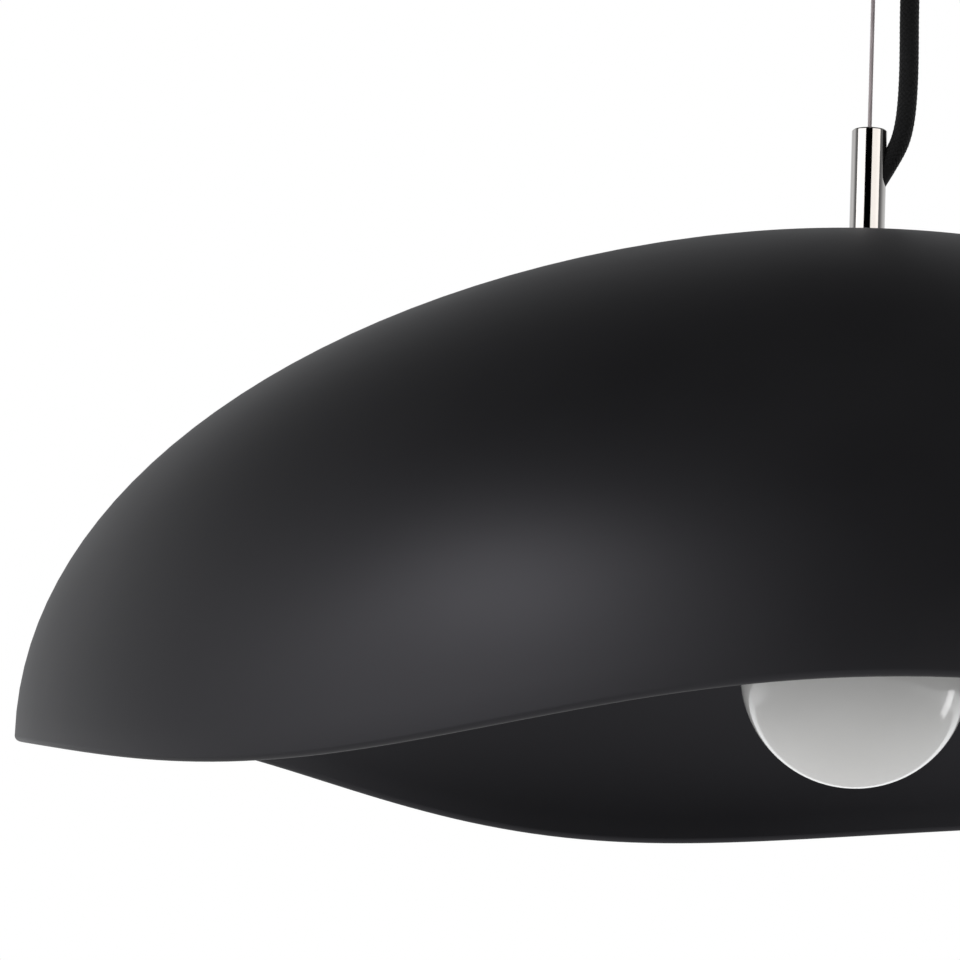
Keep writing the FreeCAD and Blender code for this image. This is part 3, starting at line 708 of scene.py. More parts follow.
@dataclass
class Studio:
    """The camera, the soft lights, the pale surroundings and the floor."""

    camera_place: Tuple[float, float, float] = (0.0, -1.5, -0.4121)
    camera_turn: float = -5.114
    camera_tilt: float = 7.114
    camera_roll: float = 2.197
    lens: float = 160.45
    key_power: float = 10.5
    left_power: float = 11.5
    edge_power: float = 0.6
    right_power: float = 5.5
    rear_power: float = 2.5
    far_power: float = 6.0
    glow_behind: float = 0.66
    glow_overhead: float = 0.045
    glow_side: float = 0.13
    glow_below: float = 0.62
    backdrop: float = 1.0
    floor_height: float = -2.6
    floor_size: float = 16.0
    floor_glow: float = 0.46

    def build(self) -> None:
        """Sets up the whole studio."""
        bpy.context.scene.view_settings.view_transform = "Standard"
        self.camera()
        self.lights()
        self.surroundings()
        self.floor()

    def camera(self) -> None:
        """Places the camera a little below the rim, looking up at the dome."""
        data = bpy.data.cameras.new("camera")
        data.lens = self.lens
        data.sensor_width = 36.0
        data.clip_start = 0.05
        data.clip_end = 60.0
        camera = bpy.data.objects.new("camera", data)
        bpy.context.scene.collection.objects.link(camera)
        turn, tilt, roll = (math.radians(a) for a in
                            (self.camera_turn, self.camera_tilt, self.camera_roll))
        ahead = Vector((math.sin(turn) * math.cos(tilt), math.cos(turn) * math.cos(tilt),
                        math.sin(tilt)))
        side = Vector((math.cos(turn), -math.sin(turn), 0.0))
        above = side.cross(ahead)
        right = side * math.cos(roll) + above * math.sin(roll)
        top = above * math.cos(roll) - side * math.sin(roll)
        grid = Matrix((right, top, -ahead)).transposed().to_4x4()
        grid.translation = Vector(self.camera_place)
        camera.matrix_world = grid
        bpy.context.scene.camera = camera

    def lights(self) -> None:
        """Adds the key light at the upper left and the soft sides."""
        middle = (0.0, 0.0, -0.25)
        for light in (
            Softbox("key softbox", (-1.34, -1.27, 0.92), (-0.1, -0.25, -0.28), 0.9, 0.9,
                    self.key_power),
            Softbox("left softbox", (-1.58, -1.27, 0.05), middle, 2.1, 1.3, self.left_power),
            Softbox("edge strip", (-1.7, 0.7, -0.05), middle, 0.8, 1.5, self.edge_power),
            Softbox("right softbox", (1.50, -1.36, 0.14), (0.0, 0.0, -0.1), 2.1, 0.7,
                    self.right_power, (1.0, 0.97, 0.93)),
            Softbox("rear strip", (1.55, 0.75, -0.50), (0.0, 0.0, -0.29), 0.35, 0.8,
                    self.rear_power),
            Softbox("far side softbox", (1.7, 0.45, 1.25), middle, 1.6, 1.6, self.far_power),
        ):
            light.build()

    def surroundings(self) -> None:
        """A pale surround, brightest behind the lamp and darker overhead and in front."""
        world = bpy.data.worlds.new("pale studio")
        bpy.context.scene.world = world
        world.use_nodes = True
        nodes, links = world.node_tree.nodes, world.node_tree.links
        spot = nodes.new("ShaderNodeTexCoord")
        split = nodes.new("ShaderNodeSeparateXYZ")
        links.new(spot.outputs["Generated"], split.inputs[0])

        def lobe(axis: str, start: float, end: float,
                 strength: float) -> bpy.types.NodeSocket:
            """A glow that grows from nothing at start to strength at end, along an axis."""
            reach = nodes.new("ShaderNodeMapRange")
            reach.interpolation_type = "SMOOTHSTEP"
            for socket, number in zip((1, 2, 3, 4), (start, end, 0.0, strength)):
                reach.inputs[socket].default_value = number
            links.new(split.outputs[axis], reach.inputs[0])
            return reach.outputs[0]

        def combine(kind: str, first: bpy.types.NodeSocket,
                    second: bpy.types.NodeSocket) -> bpy.types.NodeSocket:
            """Adds or multiplies two glows."""
            node = nodes.new("ShaderNodeMath")
            node.operation = kind
            links.new(first, node.inputs[0])
            links.new(second, node.inputs[1])
            return node.outputs[0]

        behind = combine("MULTIPLY", lobe("Y", -0.1, 0.9, self.glow_behind),
                         lobe("Z", 0.75, 0.35, 1.0))
        glow = combine("ADD", behind, lobe("Z", 0.3, 1.0, self.glow_overhead))
        sides = combine("ADD", lobe("X", 0.7, 0.95, self.glow_side),
                        lobe("X", -0.7, -0.95, self.glow_side))
        glow = combine("ADD", glow, sides)
        glow = combine("ADD", glow, lobe("Z", 0.05, -0.2, self.glow_below))
        around = nodes["Background"]
        around.inputs["Color"].default_value = (0.98, 0.99, 1.0, 1.0)
        links.new(glow, around.inputs["Strength"])
        seen = nodes.new("ShaderNodeBackground")
        seen.inputs["Color"].default_value = (1.0, 1.0, 1.0, 1.0)
        seen.inputs["Strength"].default_value = self.backdrop
        ray = nodes.new("ShaderNodeLightPath")
        mix = nodes.new("ShaderNodeMixShader")
        links.new(ray.outputs["Is Camera Ray"], mix.inputs["Fac"])
        links.new(around.outputs[0], mix.inputs[1])
        links.new(seen.outputs[0], mix.inputs[2])
        links.new(mix.outputs[0], nodes["World Output"].inputs["Surface"])

    def floor(self) -> None:
        """A plain pale floor well below the lamp."""
        Bench.clear()
        bpy.ops.mesh.primitive_plane_add(size=self.floor_size,
                                         location=(0.0, 0.0, self.floor_height))
        floor = bpy.context.object
        floor.name = "floor"
        graph = Graph("pale floor")
        patches = graph.noise(graph.place(), 1.5, 4.0)
        graph.colour(graph.shades(patches, (0.78, 0.78, 0.77), (0.82, 0.82, 0.81)))
        graph.set(Roughness=0.7, Emission_Color=(1.0, 1.0, 1.0, 1.0),
                  Emission_Strength=self.floor_glow)
        floor.data.materials.append(graph.material)


# ---------------------------------------------------------------- cable and flex
@dataclass
class Line:
    """A smooth line through space and the frame that turns along it."""

    points: np.ndarray
    sides: np.ndarray = field(init=False)
    fronts: np.ndarray = field(init=False)
    along: np.ndarray = field(init=False)

    def __post_init__(self) -> None:
        """Works out the distance along the line and a frame with no twist."""
        steps = np.diff(self.points, axis=0)
        self.along = np.concatenate([[0.0], np.cumsum(np.linalg.norm(steps, axis=1))])
        ways = np.gradient(self.points, axis=0)
        ways /= np.linalg.norm(ways, axis=1)[:, None]
        side = np.array([0.0, 1.0, 0.0])
        sides = []
        for way in ways:
            side = side - way * (side @ way)
            side /= np.linalg.norm(side)
            sides.append(side)
        self.sides = np.array(sides)
        self.fronts = np.cross(ways, self.sides)

    @classmethod
    def from_route(cls, route: Sequence[Tuple[float, float, float]], spacing: float,
                   lead: float = 0.0) -> "Line":
        """Reads a smooth spline whose control points are the route's.

        Args:
            route: the route's points.
            spacing: the distance between the line's points.
            lead: how far the line also runs back past its first point.

        Returns:
            The line.
        """
        data = bpy.data.curves.new("route", "CURVE")
        data.dimensions = "3D"
        data.resolution_u = 48
        spline = data.splines.new("NURBS")
        spline.points.add(len(route) - 1)
        for point, place in zip(spline.points, route):
            point.co = (*place, 1.0)
        spline.order_u = 3
        spline.use_endpoint_u = True
        guide = bpy.data.objects.new("route", data)
        bpy.context.scene.collection.objects.link(guide)
        bpy.context.view_layer.update()
        mesh = bpy.data.meshes.new_from_object(guide)
        read = np.array([vertex.co for vertex in mesh.vertices])
        bpy.data.objects.remove(guide)
        bpy.data.meshes.remove(mesh)
        if lead:
            back = read[0] - read[1]
            read = np.vstack([read[0] + back / np.linalg.norm(back) * lead, read])
        reach = np.concatenate([[0.0], np.cumsum(np.linalg.norm(np.diff(read, axis=0), axis=1))])
        places = np.linspace(0.0, reach[-1], max(8, int(reach[-1] / spacing)))
        return cls(np.column_stack([np.interp(places, reach, read[:, i]) for i in range(3)]))

    def around(self, angle: np.ndarray, radius: np.ndarray) -> np.ndarray:
        """Points round the line, at an angle and a radius for each of its points."""
        return (self.points + self.sides * (np.cos(angle) * radius)[:, None]
                + self.fronts * (np.sin(angle) * radius)[:, None])


class StrandMesh:
    """Gathers round or flat strands into one mesh."""

    def __init__(self) -> None:
        """Starts with no strands."""
        self.points: List[np.ndarray] = []
        self.faces: List[Tuple[int, ...]] = []
        self.count = 0

    def add(self, centres: np.ndarray, outs: np.ndarray, width: float, thickness: float,
            corners: int) -> None:
        """Adds one strand with closed ends.

        Args:
            centres: the strand's centre line.
            outs: the outward direction at each of its points.
            width: the section's full width.
            thickness: the section's full thickness, along outs.
            corners: how many corners the section has.
        """
        ways = np.gradient(centres, axis=0)
        ways /= np.linalg.norm(ways, axis=1)[:, None]
        wide = np.cross(ways, outs)
        wide /= np.linalg.norm(wide, axis=1)[:, None]
        tall = np.cross(wide, ways)
        rows = []
        for corner in range(corners):
            angle = math.tau * corner / corners
            rows.append(centres + wide * (math.cos(angle) * width / 2)
                        + tall * (math.sin(angle) * thickness / 2))
        block = np.stack(rows, axis=1).reshape(-1, 3)
        base = self.count
        length = len(centres)
        for i in range(length - 1):
            for j in range(corners):
                k = (j + 1) % corners
                self.faces.append((base + i * corners + j, base + i * corners + k,
                                   base + (i + 1) * corners + k, base + (i + 1) * corners + j))
        self.faces.append(tuple(base + j for j in reversed(range(corners))))
        last = base + (length - 1) * corners
        self.faces.append(tuple(last + j for j in range(corners)))
        self.points.append(block)
        self.count += len(block)

    def build(self, name: str) -> bpy.types.Object:
        """Makes the object, with its faces outwards and smooth.

        Args:
            name: the piece's name.

        Returns:
            The piece.
        """
        mesh = bpy.data.meshes.new(name)
        mesh.from_pydata(np.vstack(self.points).tolist(), [], self.faces)
        piece = bpy.data.objects.new(name, mesh)
        bpy.context.scene.collection.objects.link(piece)
        Bench.adopt(piece)
        bpy.ops.object.mode_set(mode="EDIT")
        bpy.ops.mesh.select_all(action="SELECT")
        bpy.ops.mesh.normals_make_consistent(inside=False)
        bpy.ops.object.mode_set(mode="OBJECT")
        bpy.ops.object.shade_smooth_by_angle(angle=math.radians(75.0))
        return piece


@dataclass
class SteelCable:
    """The taut stranded cable from the gripper to the ball end inside the stem."""

    top: float = -0.045
    bottom: float = -0.1026
    radius: float = 0.00075
    strands: int = 6
    lay_length: float = 0.0085

    def build(self, finishes: Dict[str, bpy.types.Material]) -> None:
        """Twists the strands round a core.

        Args:
            finishes: the materials by slot.
        """
        route = [(0.0, 0.0, self.top), (0.0, 0.0, (self.top + self.bottom) / 2),
                 (0.0, 0.0, self.bottom)]
        line = Line.from_route(route, 0.0004)
        wire = self.radius / 1.5
        mesh = StrandMesh()
        mesh.add(line.points, line.sides, wire * 1.1, wire * 1.1, 6)
        for strand in range(self.strands):
            angle = math.tau * (strand / self.strands + line.along / self.lay_length)
            centres = line.around(angle, np.full(len(angle), self.radius - wire / 2))
            outs = centres - line.points
            mesh.add(centres, outs / np.linalg.norm(outs, axis=1)[:, None], wire, wire, 8)
        cable = mesh.build("steel_cable_strands")
        Bench.dress(cable, finishes["steel_cable"], Body.SUSPENSION, Slot.CABLE,
                    ["suspension_cable"])


@dataclass
class BraidedFlex:
    """The textile flex from the canopy's gland down into the side of the stem."""

    route: Tuple[Tuple[float, float, float], ...] = (
        (0.0130, 0.0, -0.0430),
        (0.0130, 0.0, -0.0535),
        (0.01325, 0.0, -0.0645),
        (0.01335, 0.0, -0.0755),
        (0.01295, 0.0, -0.0875),
        (0.0117, 0.0, -0.0965),
        (0.0095, 0.0, -0.10257),
        (0.00625, 0.0, -0.1082),
    )
    radius: float = 0.0035
    length: float = 0.0665
    carriers: int = 12
    pitch: float = 0.022
    lead: float = 0.002
    steps_per_crossing: int = 5
    sleeve_share: float = 1.78
    weave: float = 0.00016
    yarn_share: float = 0.62
    yarn_thickness: float = 0.00028
    yarn_inset: float = 0.00030
    bend_start: Tuple[float, float, float] = (0.0130, 0.0, -0.055)
    bend_end: Tuple[float, float, float] = (0.0075, 0.0, -0.107)

    def build(self, finishes: Dict[str, bpy.types.Material]) -> None:
        """Braids the yarns over a plain sleeve and lets it bend between its two ends.

        Args:
            finishes: the materials by slot.
        """
        spacing = self.pitch / (2 * self.carriers) / self.steps_per_crossing
        line = Line.from_route(self.route, spacing, self.lead)
        mesh = StrandMesh()
        sleeve = self.radius * self.sleeve_share
        mesh.add(line.points, line.sides, sleeve, sleeve, 28)
        turn = math.tau * line.along / self.pitch
        lift = self.weave * np.cos(self.carriers * turn)
        yarn = math.tau * self.radius / self.carriers * self.yarn_share
        for carrier in range(self.carriers):
            for hand in (1, -1):
                angle = math.tau * carrier / self.carriers + hand * turn
                spread = self.radius - self.yarn_inset + hand * lift
                centres = line.around(angle, spread)
                outs = centres - line.points
                outs /= np.linalg.norm(outs, axis=1)[:, None]
                mesh.add(centres, outs, yarn, self.yarn_thickness, 6)
        flex = mesh.build("braided_flex")
        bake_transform(flex, Body.SUSPENSION.value, Body.LAMP.value,
                 start=self.bend_start, end=self.bend_end)
        Bench.dress(flex, finishes["black_textile"], Body.SUSPENSION, Slot.TEXTILE,
                    ["power_cord"])


# ---------------------------------------------------------------- shade
@dataclass
class DomeShade:
    """The dome: a smooth crown, three low waves round its rim and a full-round lip."""

    top: float = -0.136
    radius: float = 0.291
    depth: float = 0.186
    side_power: float = 1.77
    top_power: float = 2.06
    wall: float = 0.004
    rim_depth: float = 0.188
    wave_rise: float = 0.0125
    wave_lean: float = 0.0028
    wave_count: int = 3
    wave_turn: float = 102.5
    hole: float = 0.0053
    around: int = 256
    skin_steps: int = 40
    lip_steps: int = 9

    def skin(self, turn: np.ndarray) -> Tuple[np.ndarray, np.ndarray]:
        """Radius and height of the outside, for a turn from the crown towards the side."""
        radius = self.radius * np.sin(turn) ** (2 / self.side_power)
        cosine = np.cos(turn)
        drop = 1 - np.sign(cosine) * np.abs(cosine) ** (2 / self.top_power)
        return radius, self.top - self.depth * drop

    def outward(self, turn: np.ndarray) -> Tuple[np.ndarray, np.ndarray]:
        """The outside's outward direction, as its radial and upright parts."""
        step = 1e-4
        after, before = self.skin(turn + step), self.skin(turn - step)
        across, down = after[0] - before[0], after[1] - before[1]
        length = np.hypot(across, down)
        return -down / length, across / length

    def rim_turn(self, azimuth: np.ndarray) -> np.ndarray:
        """How far down the dome the rim lies at each azimuth, in radians."""
        swing = (azimuth - math.radians(self.wave_turn)) * self.wave_count
        depth = (self.rim_depth + self.wave_rise * np.cos(swing)
                 + self.wave_lean * np.sin(2 * swing))
        height = 1 - depth / self.depth
        return np.arccos(np.sign(height) * np.abs(height) ** (self.top_power / 2))

    def section(self, azimuth: np.ndarray) -> np.ndarray:
        """The shade's closed section at each azimuth.

        Args:
            azimuth: the azimuths, in radians.

        Returns:
            An array of azimuths by section points by radius and height.
        """
        start = math.asin((self.hole / self.radius) ** (self.side_power / 2))
        share = np.linspace(0.0, 1.0, self.skin_steps)
        rim = self.rim_turn(azimuth)[:, None]
        turn = start + (rim - start) * share[None, :]
        radius, height = self.skin(turn)
        out, up = self.outward(turn)
        inner_r, inner_z = radius - out * self.wall, height - up * self.wall
        inner_r[:, 0] = self.hole
        edge_r, edge_z = self.skin(rim)
        edge_out, edge_up = self.outward(rim)
        middle_r = edge_r - edge_out * self.wall / 2
        middle_z = edge_z - edge_up * self.wall / 2
        angle = (np.arange(1, self.lip_steps + 1) * math.pi / (self.lip_steps + 1))[None, :]
        lip_r = middle_r + (edge_out * np.cos(angle) + edge_up * np.sin(angle)) * self.wall / 2
        lip_z = middle_z + (edge_up * np.cos(angle) - edge_out * np.sin(angle)) * self.wall / 2
        ring_r = np.concatenate([radius, lip_r, inner_r[:, ::-1]], axis=1)
        ring_z = np.concatenate([height, lip_z, inner_z[:, ::-1]], axis=1)
        return np.stack([ring_r, ring_z], axis=-1)

    def build(self, finishes: Dict[str, bpy.types.Material]) -> None:
        """Shapes a ring's points into the dome's section at every azimuth.

        Args:
            finishes: the materials by slot.
        """
        azimuth = np.arange(self.around) * math.tau / self.around
        section = self.section(azimuth)
        Bench.clear()
        bpy.ops.mesh.primitive_torus_add(major_segments=self.around,
                                         minor_segments=section.shape[1],
                                         major_radius=0.2, minor_radius=0.05)
        shade = bpy.context.object
        shade.name = "dome_shade"

        def move(_: np.ndarray) -> np.ndarray:
            """Puts each ring of points on the section at its azimuth."""
            radius, height = section[..., 0], section[..., 1]
            turned = azimuth[:, None]
            return np.stack([radius * np.cos(turned), radius * np.sin(turned), height],
                            axis=-1).reshape(-1, 3)

        Bench.reshape(shade, move)
        Bench.adopt(shade)
        bpy.ops.object.mode_set(mode="EDIT")
        bpy.ops.mesh.select_all(action="SELECT")
        bpy.ops.mesh.normals_make_consistent(inside=False)
        bpy.ops.object.mode_set(mode="OBJECT")
        bpy.ops.object.shade_smooth_by_angle(angle=math.radians(40.0))
        Bench.dress(shade, finishes["shade_black"], Body.LAMP, Slot.LACQUER, ["shade"])


# ---------------------------------------------------------------- stem
@dataclass
class Stem:
    """The polished stem with its slanted flex hole, and the cap that holds the cable."""

    base: float = -0.136
    height: float = 0.041
    radius: float = 0.00625
    bore: float = 0.0046
    grip_radius: float = 0.00505
    grip_height: float = 0.0115
    hole_drop: float = 0.0132
    hole_tilt: float = 30.0
    hole_radius: float = 0.0038
    top_edge: float = 0.0005
    cap_height: float = 0.0034
    cap_play: float = 0.000025
    cap_edge: float = 0.0003
    cable_way: float = 0.00105
    dimple_radius: float = 0.0022
    dimple_foot: float = 0.0018
    dimple_depth: float = 0.0004

    def build(self, finishes: Dict[str, bpy.types.Material]) -> None:
        """Turns the tube, drills the flex hole and turns the cap.

        Args:
            finishes: the materials by slot.
        """
        base, top = self.base, self.base + self.height
        tube = Bench.lathe("stem_tube_polished", [
            (self.grip_radius, base), (self.radius, base), (self.radius, base + 0.02),
            (self.radius, top - self.top_edge), (self.radius - self.top_edge, top),
            (self.bore, top),
            (self.bore, base + self.grip_height), (self.grip_radius, base + self.grip_height)],
            160)
        tilt = math.radians(self.hole_tilt)
        entry = Vector((self.radius, 0.0, top - self.hole_drop))
        slant = Vector((math.sin(tilt), 0.0, math.cos(tilt)))
        reach = self.radius / math.sin(tilt)
        Bench.bore(tube, entry - slant * reach, entry + slant * reach, self.hole_radius)
        Bench.soften(tube, 0.00012, 2)
        Bench.dress(tube, finishes["polished_nickel"], Body.LAMP, Slot.NICKEL, ["stem_tube"])

        low, outer = top - self.cap_height, self.bore - self.cap_play
        foot = top - self.dimple_depth
        cap = Bench.lathe("stem_cap_turned", [
            (self.cable_way, low), (outer, low), (outer, top - self.cap_edge),
            (outer - self.cap_edge, top), (self.dimple_radius, top), (self.dimple_foot, foot),
            (self.cable_way, foot)], 96)
        Bench.soften(cap, 0.0001, 2)
        Bench.dress(cap, finishes["polished_nickel"], Body.LAMP, Slot.NICKEL, ["stem_cap"])


# ---------------------------------------------------------------- ceiling fitting
@dataclass
class CeilingFitting:
    """The gripper and the flex gland below the canopy, with their grip ribs."""

    canopy_base: float = -0.028
    gripper_mouth: float = -0.041
    gripper_top: float = -0.013
    gland_x: float = 0.013
    gland_mouth: float = -0.043
    gland_top: float = -0.021
    gripper_bore: float = 0.0028
    gripper_nose: float = 0.0041
    gripper_radius: float = 0.0048
    gripper_groove: Tuple[float, float] = (0.0042, 0.0054)
    groove_depth: float = 0.0003
    collar_radius: float = 0.0055
    collar_height: float = 0.003
    collar_edge: float = 0.0004
    spigot_radius: float = 0.0040
    cable_way: float = 0.00105
    ball_seat: float = -0.025
    gland_bore: float = 0.0038
    gland_nose: Tuple[Tuple[float, float], ...] = (
        (0.0045, 0.0), (0.0050, 0.0005), (0.0054, 0.0016), (0.0055, 0.0030))
    gland_grip: float = 0.0065
    gland_spigot: float = 0.0052
    screw_drop: float = 0.0075
    screw_hole: float = 0.0011
    rib_depth: float = 0.0003
    spring_wire: float = 0.0005
    spring_turns: int = 3
    press: float = 0.002

    def build(self, finishes: Dict[str, bpy.types.Material]) -> None:
        """Turns the gripper's body and the gland, and winds the gripper's spring.

        Args:
            finishes: the materials by slot.
        """
        self.gripper(finishes)
        self.gland(finishes)
        self.spring(finishes)

    def spring(self, finishes: Dict[str, bpy.types.Material]) -> None:
        """The gripper's round-wire spring, wound to fill its CAD node's box.

        Args:
            finishes: the materials by slot.
        """
        low, high = (Vector(corner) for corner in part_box("gripper_spring"))
        coil = (high.x - low.x - self.spring_wire) / 2
        height = high.z - low.z
        Bench.clear()
        bpy.ops.mesh.primitive_circle_add(
            vertices=12, radius=self.spring_wire / 2, fill_type="NOTHING",
            location=(coil, 0.0, low.z + self.spring_wire / 2), rotation=(math.pi / 2, 0.0, 0.0))
        spring = bpy.context.object
        spring.name = "gripper_spring_coil"
        Bench.settle(spring)
        wind = spring.modifiers.new("winding", "SCREW")
        wind.steps = wind.render_steps = 40
        wind.iterations = self.spring_turns
        wind.screw_offset = (height - self.spring_wire) / self.spring_turns
        Bench.apply_all(spring)
        bpy.ops.object.mode_set(mode="EDIT")
        bpy.ops.mesh.select_all(action="SELECT")
        bpy.ops.mesh.fill_holes(sides=0)
        bpy.ops.mesh.select_all(action="SELECT")
        bpy.ops.mesh.normals_make_consistent(inside=False)
        bpy.ops.object.mode_set(mode="OBJECT")
        bpy.ops.object.shade_smooth_by_angle(angle=math.radians(50.0))
        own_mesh(spring)
        Bench.dress(spring, finishes["spring_steel"], Body.CEILING, Slot.SPRING,
                    ["gripper_spring"])

    def ribs(self, piece: bpy.types.Object, x: float, low: float, high: float, inner: float,
             depth: float, every: int) -> None:
        """Pulls every other column of points inwards, so that the band has grip ribs.

        Args:
            piece: the piece.
            x: its axis's place along X.
            low: the band's lowest height.
            high: the band's highest height.
            inner: points nearer the axis than this stay.
            depth: how deep the ribs are.
            every: how many ribs go round.
        """
        def move(points: np.ndarray) -> np.ndarray:
            """Shrinks the band's points where the ribs' valleys are."""
            radius = np.hypot(points[:, 0] - x, points[:, 1])
            azimuth = np.arctan2(points[:, 1], points[:, 0] - x)
            band = (points[:, 2] > low) & (points[:, 2] < high) & (radius > inner)
            valley = np.clip(np.cos(azimuth * every) * 2.0, -1.0, 1.0) * 0.5 + 0.5
            shrink = np.where(band, 1 - depth * valley / np.maximum(radius, 1e-6), 1.0)
            moved = points.copy()
            moved[:, 0] = x + (points[:, 0] - x) * shrink
            moved[:, 1] = points[:, 1] * shrink
            return moved

        Bench.reshape(piece, move)

    def gripper(self, finishes: Dict[str, bpy.types.Material]) -> None:
        """The gripper's stepped body with a knurled collar.

        Args:
            finishes: the materials by slot.
        """
        mouth, base = self.gripper_mouth, self.canopy_base
        shank, grip, waist = self.gripper_radius, self.collar_radius, 0.0045
        groove_low, groove_high = self.gripper_groove
        collar_low = base - self.collar_height
        body = Bench.lathe("gripper_body_turned", [
            (self.gripper_bore, mouth), (self.gripper_nose, mouth), (shank, mouth + 0.0008),
            (shank, mouth + groove_low), (waist, mouth + groove_low + self.groove_depth),
            (waist, mouth + groove_high - self.groove_depth), (shank, mouth + groove_high),
            (shank, collar_low), (0.0052, collar_low), (grip, base - 0.0026),
            (grip, base - 0.0015), (grip, base - self.collar_edge), (0.0052, base),
            (self.spigot_radius, base), (self.spigot_radius, self.gripper_top),
            (self.cable_way, self.gripper_top), (self.cable_way, self.ball_seat),
            (self.gripper_bore, self.ball_seat)], 192)
        self.ribs(body, 0.0, base - 0.0027, base - 0.0003, 0.0053, 0.00022, 48)
        Bench.soften(body, 0.0, 1)
        Bench.dress(body, finishes["polished_nickel"], Body.CEILING, Slot.NICKEL,
                    ["gripper_body"])

    def gland(self, finishes: Dict[str, bpy.types.Material]) -> None:
        """The moulded gland with a ribbed grip and its screw's side hole.

        Args:
            finishes: the materials by slot.
        """
        mouth, base = self.gland_mouth, self.canopy_base
        nose = [(radius, mouth + rise) for radius, rise in self.gland_nose]
        waist, grip, collar_low = nose[-1][0], self.gland_grip, base - self.collar_height
        gland = Bench.lathe("cord_gland_ribbed", [(self.gland_bore, mouth)] + nose + [
            (waist, base - 0.0045), (waist, collar_low), (0.0061, collar_low),
            (grip, base - 0.0026), (grip, base - self.collar_edge), (0.0063, base),
            (self.gland_spigot, base), (self.gland_spigot, self.gland_top),
            (self.gland_bore, self.gland_top)], 144, x=self.gland_x)
        self.ribs(gland, self.gland_x, base - 0.0028, base - 0.0002, 0.0060,
                  self.rib_depth, 24)
        start = Vector((self.gland_x + 0.0030, 0.0, base - self.screw_drop))
        Bench.bore(gland, start, start + Vector((0.004, 0.0, 0.0)), self.screw_hole)
        Bench.soften(gland, 0.0, 1)
        Bench.dress(gland, finishes["black_plastic"], Body.CEILING, Slot.NYLON, ["cord_gland"])


# ---------------------------------------------------------------- lampholder
@dataclass
class Lampholder:
    """The lampholder's cap, ringed shell and threaded inner shell."""

    joint: float = -0.204
    shell_height: float = 0.034
    cap_height: float = 0.024
    radius: float = 0.0195
    wall: float = 0.002
    neck: float = 0.008
    nipple_way: float = 0.00505
    edge: float = 0.00015
    rings: Tuple[float, ...] = (0.0085, 0.0115, 0.0145)
    ring_depth: float = 0.0005
    ring_foot: float = 0.0007
    ring_land: float = 0.0003
    thread_radius: float = 0.01345
    thread_wall: float = 0.0004
    thread_crest: float = 0.0005
    thread_depth: float = 0.00045
    thread_pitch: float = 0.003629
    thread_low: float = -0.236
    thread_high: float = -0.2125

    def build(self, finishes: Dict[str, bpy.types.Material]) -> None:
        """Turns the shell and the cap, and rolls the thread.

        Args:
            finishes: the materials by slot.
        """
        self.shell(finishes)
        self.cap(finishes)
        thread = rolled_thread("holder_thread", self.thread_low, self.thread_high,
                               self.thread_radius + self.thread_crest, self.thread_wall,
                               self.thread_depth, self.thread_pitch)
        Bench.dress(thread, finishes["brass"], Body.LAMP, Slot.BRASS, ["thread_shell"])

    def shell(self, finishes: Dict[str, bpy.types.Material]) -> None:
        """The outer shell, with two shallow rings and a rolled lower edge.

        Args:
            finishes: the materials by slot.
        """
        top, base = self.joint, self.joint - self.shell_height
        outer, inner, step = self.radius, self.radius - self.wall, self.ring_depth
        outline = [(inner, base + 0.0006), (inner + 0.0006, base), (outer - 0.0007, base),
                   (outer, base + 0.0007), (outer, base + 0.005), (outer - step, base + 0.0055)]
        for ring in self.rings:
            outline += [(outer - step, base + ring - self.ring_foot),
                        (outer, base + ring - self.ring_land),
                        (outer, base + ring + self.ring_land),
                        (outer - step, base + ring + self.ring_foot)]
        outline += [(outer - step, top - 0.0045), (outer, top - 0.0040), (outer, top - 0.0004),
                    (outer - 0.0004, top), (inner, top)]
        shell = Bench.soften(Bench.lathe("holder_shell_ringed", outline, 128), self.edge, 2)
        Bench.dress(shell, finishes["black_bakelite"], Body.LAMP, Slot.THERMOSET,
                    ["holder_shell"])

    def cap(self, finishes: Dict[str, bpy.types.Material]) -> None:
        """The domed cap with a plain neck round the nipple.

        Args:
            finishes: the materials by slot.
        """
        base, top = self.joint, self.joint + self.cap_height
        outer, inner = self.radius, self.radius - self.wall
        sweep = []
        for index in range(9):
            angle = math.pi / 2 * index / 8
            sweep.append((self.neck + 0.001 + (outer - self.neck - 0.001) * math.cos(angle),
                          base + 0.009 + 0.008 * math.sin(angle)))
        hollow = []
        for index in range(7):
            angle = math.pi / 2 * (6 - index) / 6
            hollow.append((self.neck - 0.001 + (inner - self.neck + 0.001) * math.cos(angle),
                           base + 0.008 + 0.007 * math.sin(angle)))
        outline = [(inner, base), (outer, base), (outer, base + 0.004)] + sweep + [
            (self.neck, base + 0.0185), (self.neck, top - 0.0006), (self.neck - 0.0006, top),
            (self.nipple_way, top), (self.nipple_way, base + 0.016)] + hollow
        cap = Bench.soften(Bench.lathe("holder_cap_domed", outline, 128), self.edge, 2)
        Bench.dress(cap, finishes["black_bakelite"], Body.LAMP, Slot.THERMOSET, ["holder_cap"])


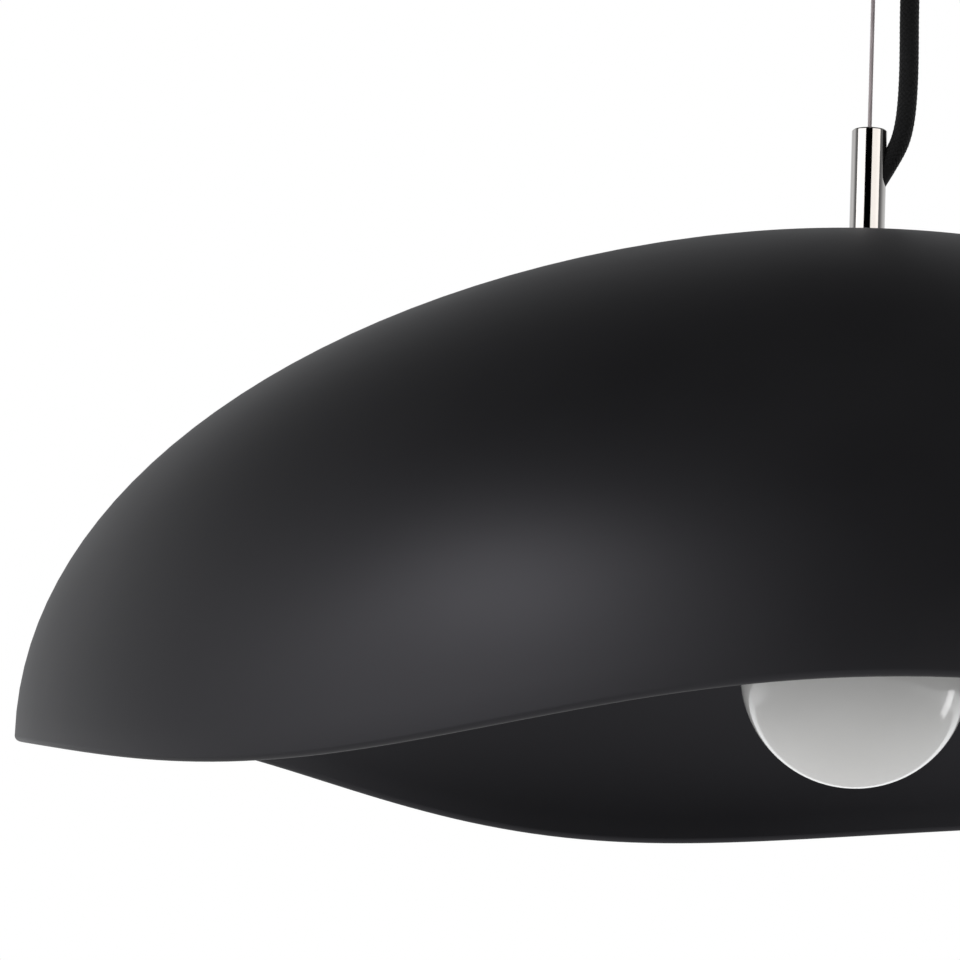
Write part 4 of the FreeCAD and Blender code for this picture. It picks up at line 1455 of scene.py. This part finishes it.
def rolled_thread(name: str, low: float, high: float, radius: float, wall: float, depth: float,
                  pitch: float) -> bpy.types.Object:
    """A thin shell with a rolled screw thread.

    Args:
        name: the piece's name.
        low: its lower end.
        high: its upper end.
        radius: its outer radius.
        wall: its thickness.
        depth: the thread's depth.
        pitch: the rise of one turn.

    Returns:
        The threaded shell.
    """
    rows = int((high - low) / pitch * 10)
    rise = [low + (high - low) * index / rows for index in range(rows + 1)]
    outline = [(radius, z) for z in rise] + [(radius - wall, z) for z in reversed(rise)]
    shell = Bench.lathe(name, outline, 72)

    def move(points: np.ndarray) -> np.ndarray:
        """Sinks the valleys of the thread, with a plain band at each end."""
        azimuth = np.arctan2(points[:, 1], points[:, 0])
        wave = 0.5 - 0.5 * np.cos(math.tau * (points[:, 2] - low) / pitch - azimuth)
        ends = np.clip(np.minimum(points[:, 2] - low, high - points[:, 2]) / (pitch / 2), 0, 1)
        shrink = 1 - depth * wave * ends / np.hypot(points[:, 0], points[:, 1])
        moved = points.copy()
        moved[:, :2] *= shrink[:, None]
        return moved

    Bench.reshape(shell, move)
    return Bench.soften(shell, 0.0, 1, 50.0)


# ---------------------------------------------------------------- bulb
@dataclass
class GlobeBulb:
    """The opal globe and its threaded cap."""

    centre: float = -0.289
    radius: float = 0.040
    neck_radius: float = 0.0134
    neck_height: float = 0.049
    join_angle: float = 32.0
    glass: float = 0.001
    cap_radius: float = 0.013
    cap_wall: float = 0.0006
    cap_low: float = -0.23995
    cap_high: float = -0.219
    thread_depth: float = 0.0005
    thread_pitch: float = 0.003629

    def skin(self, inset: float, neck_steps: int, globe_steps: int) -> Outline:
        """The glass's curve from the neck down to the globe's foot.

        Args:
            inset: how far inside the outer skin it lies.
            neck_steps: points along the hollow neck.
            globe_steps: points round the globe.

        Returns:
            The curve, as radius and height.
        """
        join = math.radians(self.join_angle)
        touch = np.array([math.sin(join), math.cos(join)])
        neck = np.array([self.neck_radius, self.neck_height])
        across = touch * self.radius - neck
        bend = -(across @ across) / (2 * (across @ touch))
        hub = touch * (self.radius + bend)
        rise = math.acos((hub[0] - (neck[0] - inset)) / (bend + inset))
        first = math.pi - rise
        last = math.atan2(-touch[1], -touch[0]) % math.tau
        points = []
        for index in range(neck_steps):
            angle = first + (last - first) * index / neck_steps
            points.append((hub[0] + (bend + inset) * math.cos(angle),
                           self.centre + hub[1] + (bend + inset) * math.sin(angle)))
        for index in range(globe_steps + 1):
            angle = join + (math.pi - join) * index / globe_steps
            points.append(((self.radius - inset) * abs(math.sin(angle)),
                           self.centre + (self.radius - inset) * math.cos(angle)))
        points[-1] = (0.0, points[-1][1])
        return points

    def build(self, finishes: Dict[str, bpy.types.Material]) -> None:
        """Blows the globe and rolls its cap.

        Args:
            finishes: the materials by slot.
        """
        outline = self.skin(0.0, 12, 44) + self.skin(self.glass, 12, 32)[::-1]
        globe = Bench.soften(Bench.lathe("opal_globe", outline, 128), 0.0, 1)
        Bench.dress(globe, finishes["opal_glass"], Body.BULB, Slot.OPAL, ["bulb_globe"])
        cap = rolled_thread("bulb_cap_threaded", self.cap_low, self.cap_high, self.cap_radius,
                            self.cap_wall, self.thread_depth, self.thread_pitch)
        Bench.dress(cap, finishes["bulb_metal"], Body.BULB, Slot.CAP_METAL, ["bulb_shell"])


def dress_frame(finishes: Dict[str, bpy.types.Material]) -> None:
    """Gives every CAD node its slot's material.

    Args:
        finishes: the materials by slot.
    """
    slots = {part["node"]: part["material_slot"] for part in frame["record"]["subparts"]}
    for name, node in frame["nodes"].items():
        for slot in node.material_slots:
            slot.material = finishes[slots[name]]
        log.info("dressed %s in %s", name, slots[name])


def corners(box: Tuple[Vector, Vector]) -> List[List[float]]:
    """A box as plain lists."""
    return [[float(value) for value in corner] for corner in box]


def main() -> None:
    """Builds the studio, the cable and flex, and then every other sub-assembly."""
    Studio().build()
    finishes = all_finishes()
    dress_frame(finishes)
    for part in (SteelCable(), BraidedFlex(), DomeShade(), Stem(), CeilingFitting(),
                 Lampholder(), GlobeBulb()):
        part.build(finishes)
    bpy.context.view_layer.update()


if __name__ == "__main__":
    main()
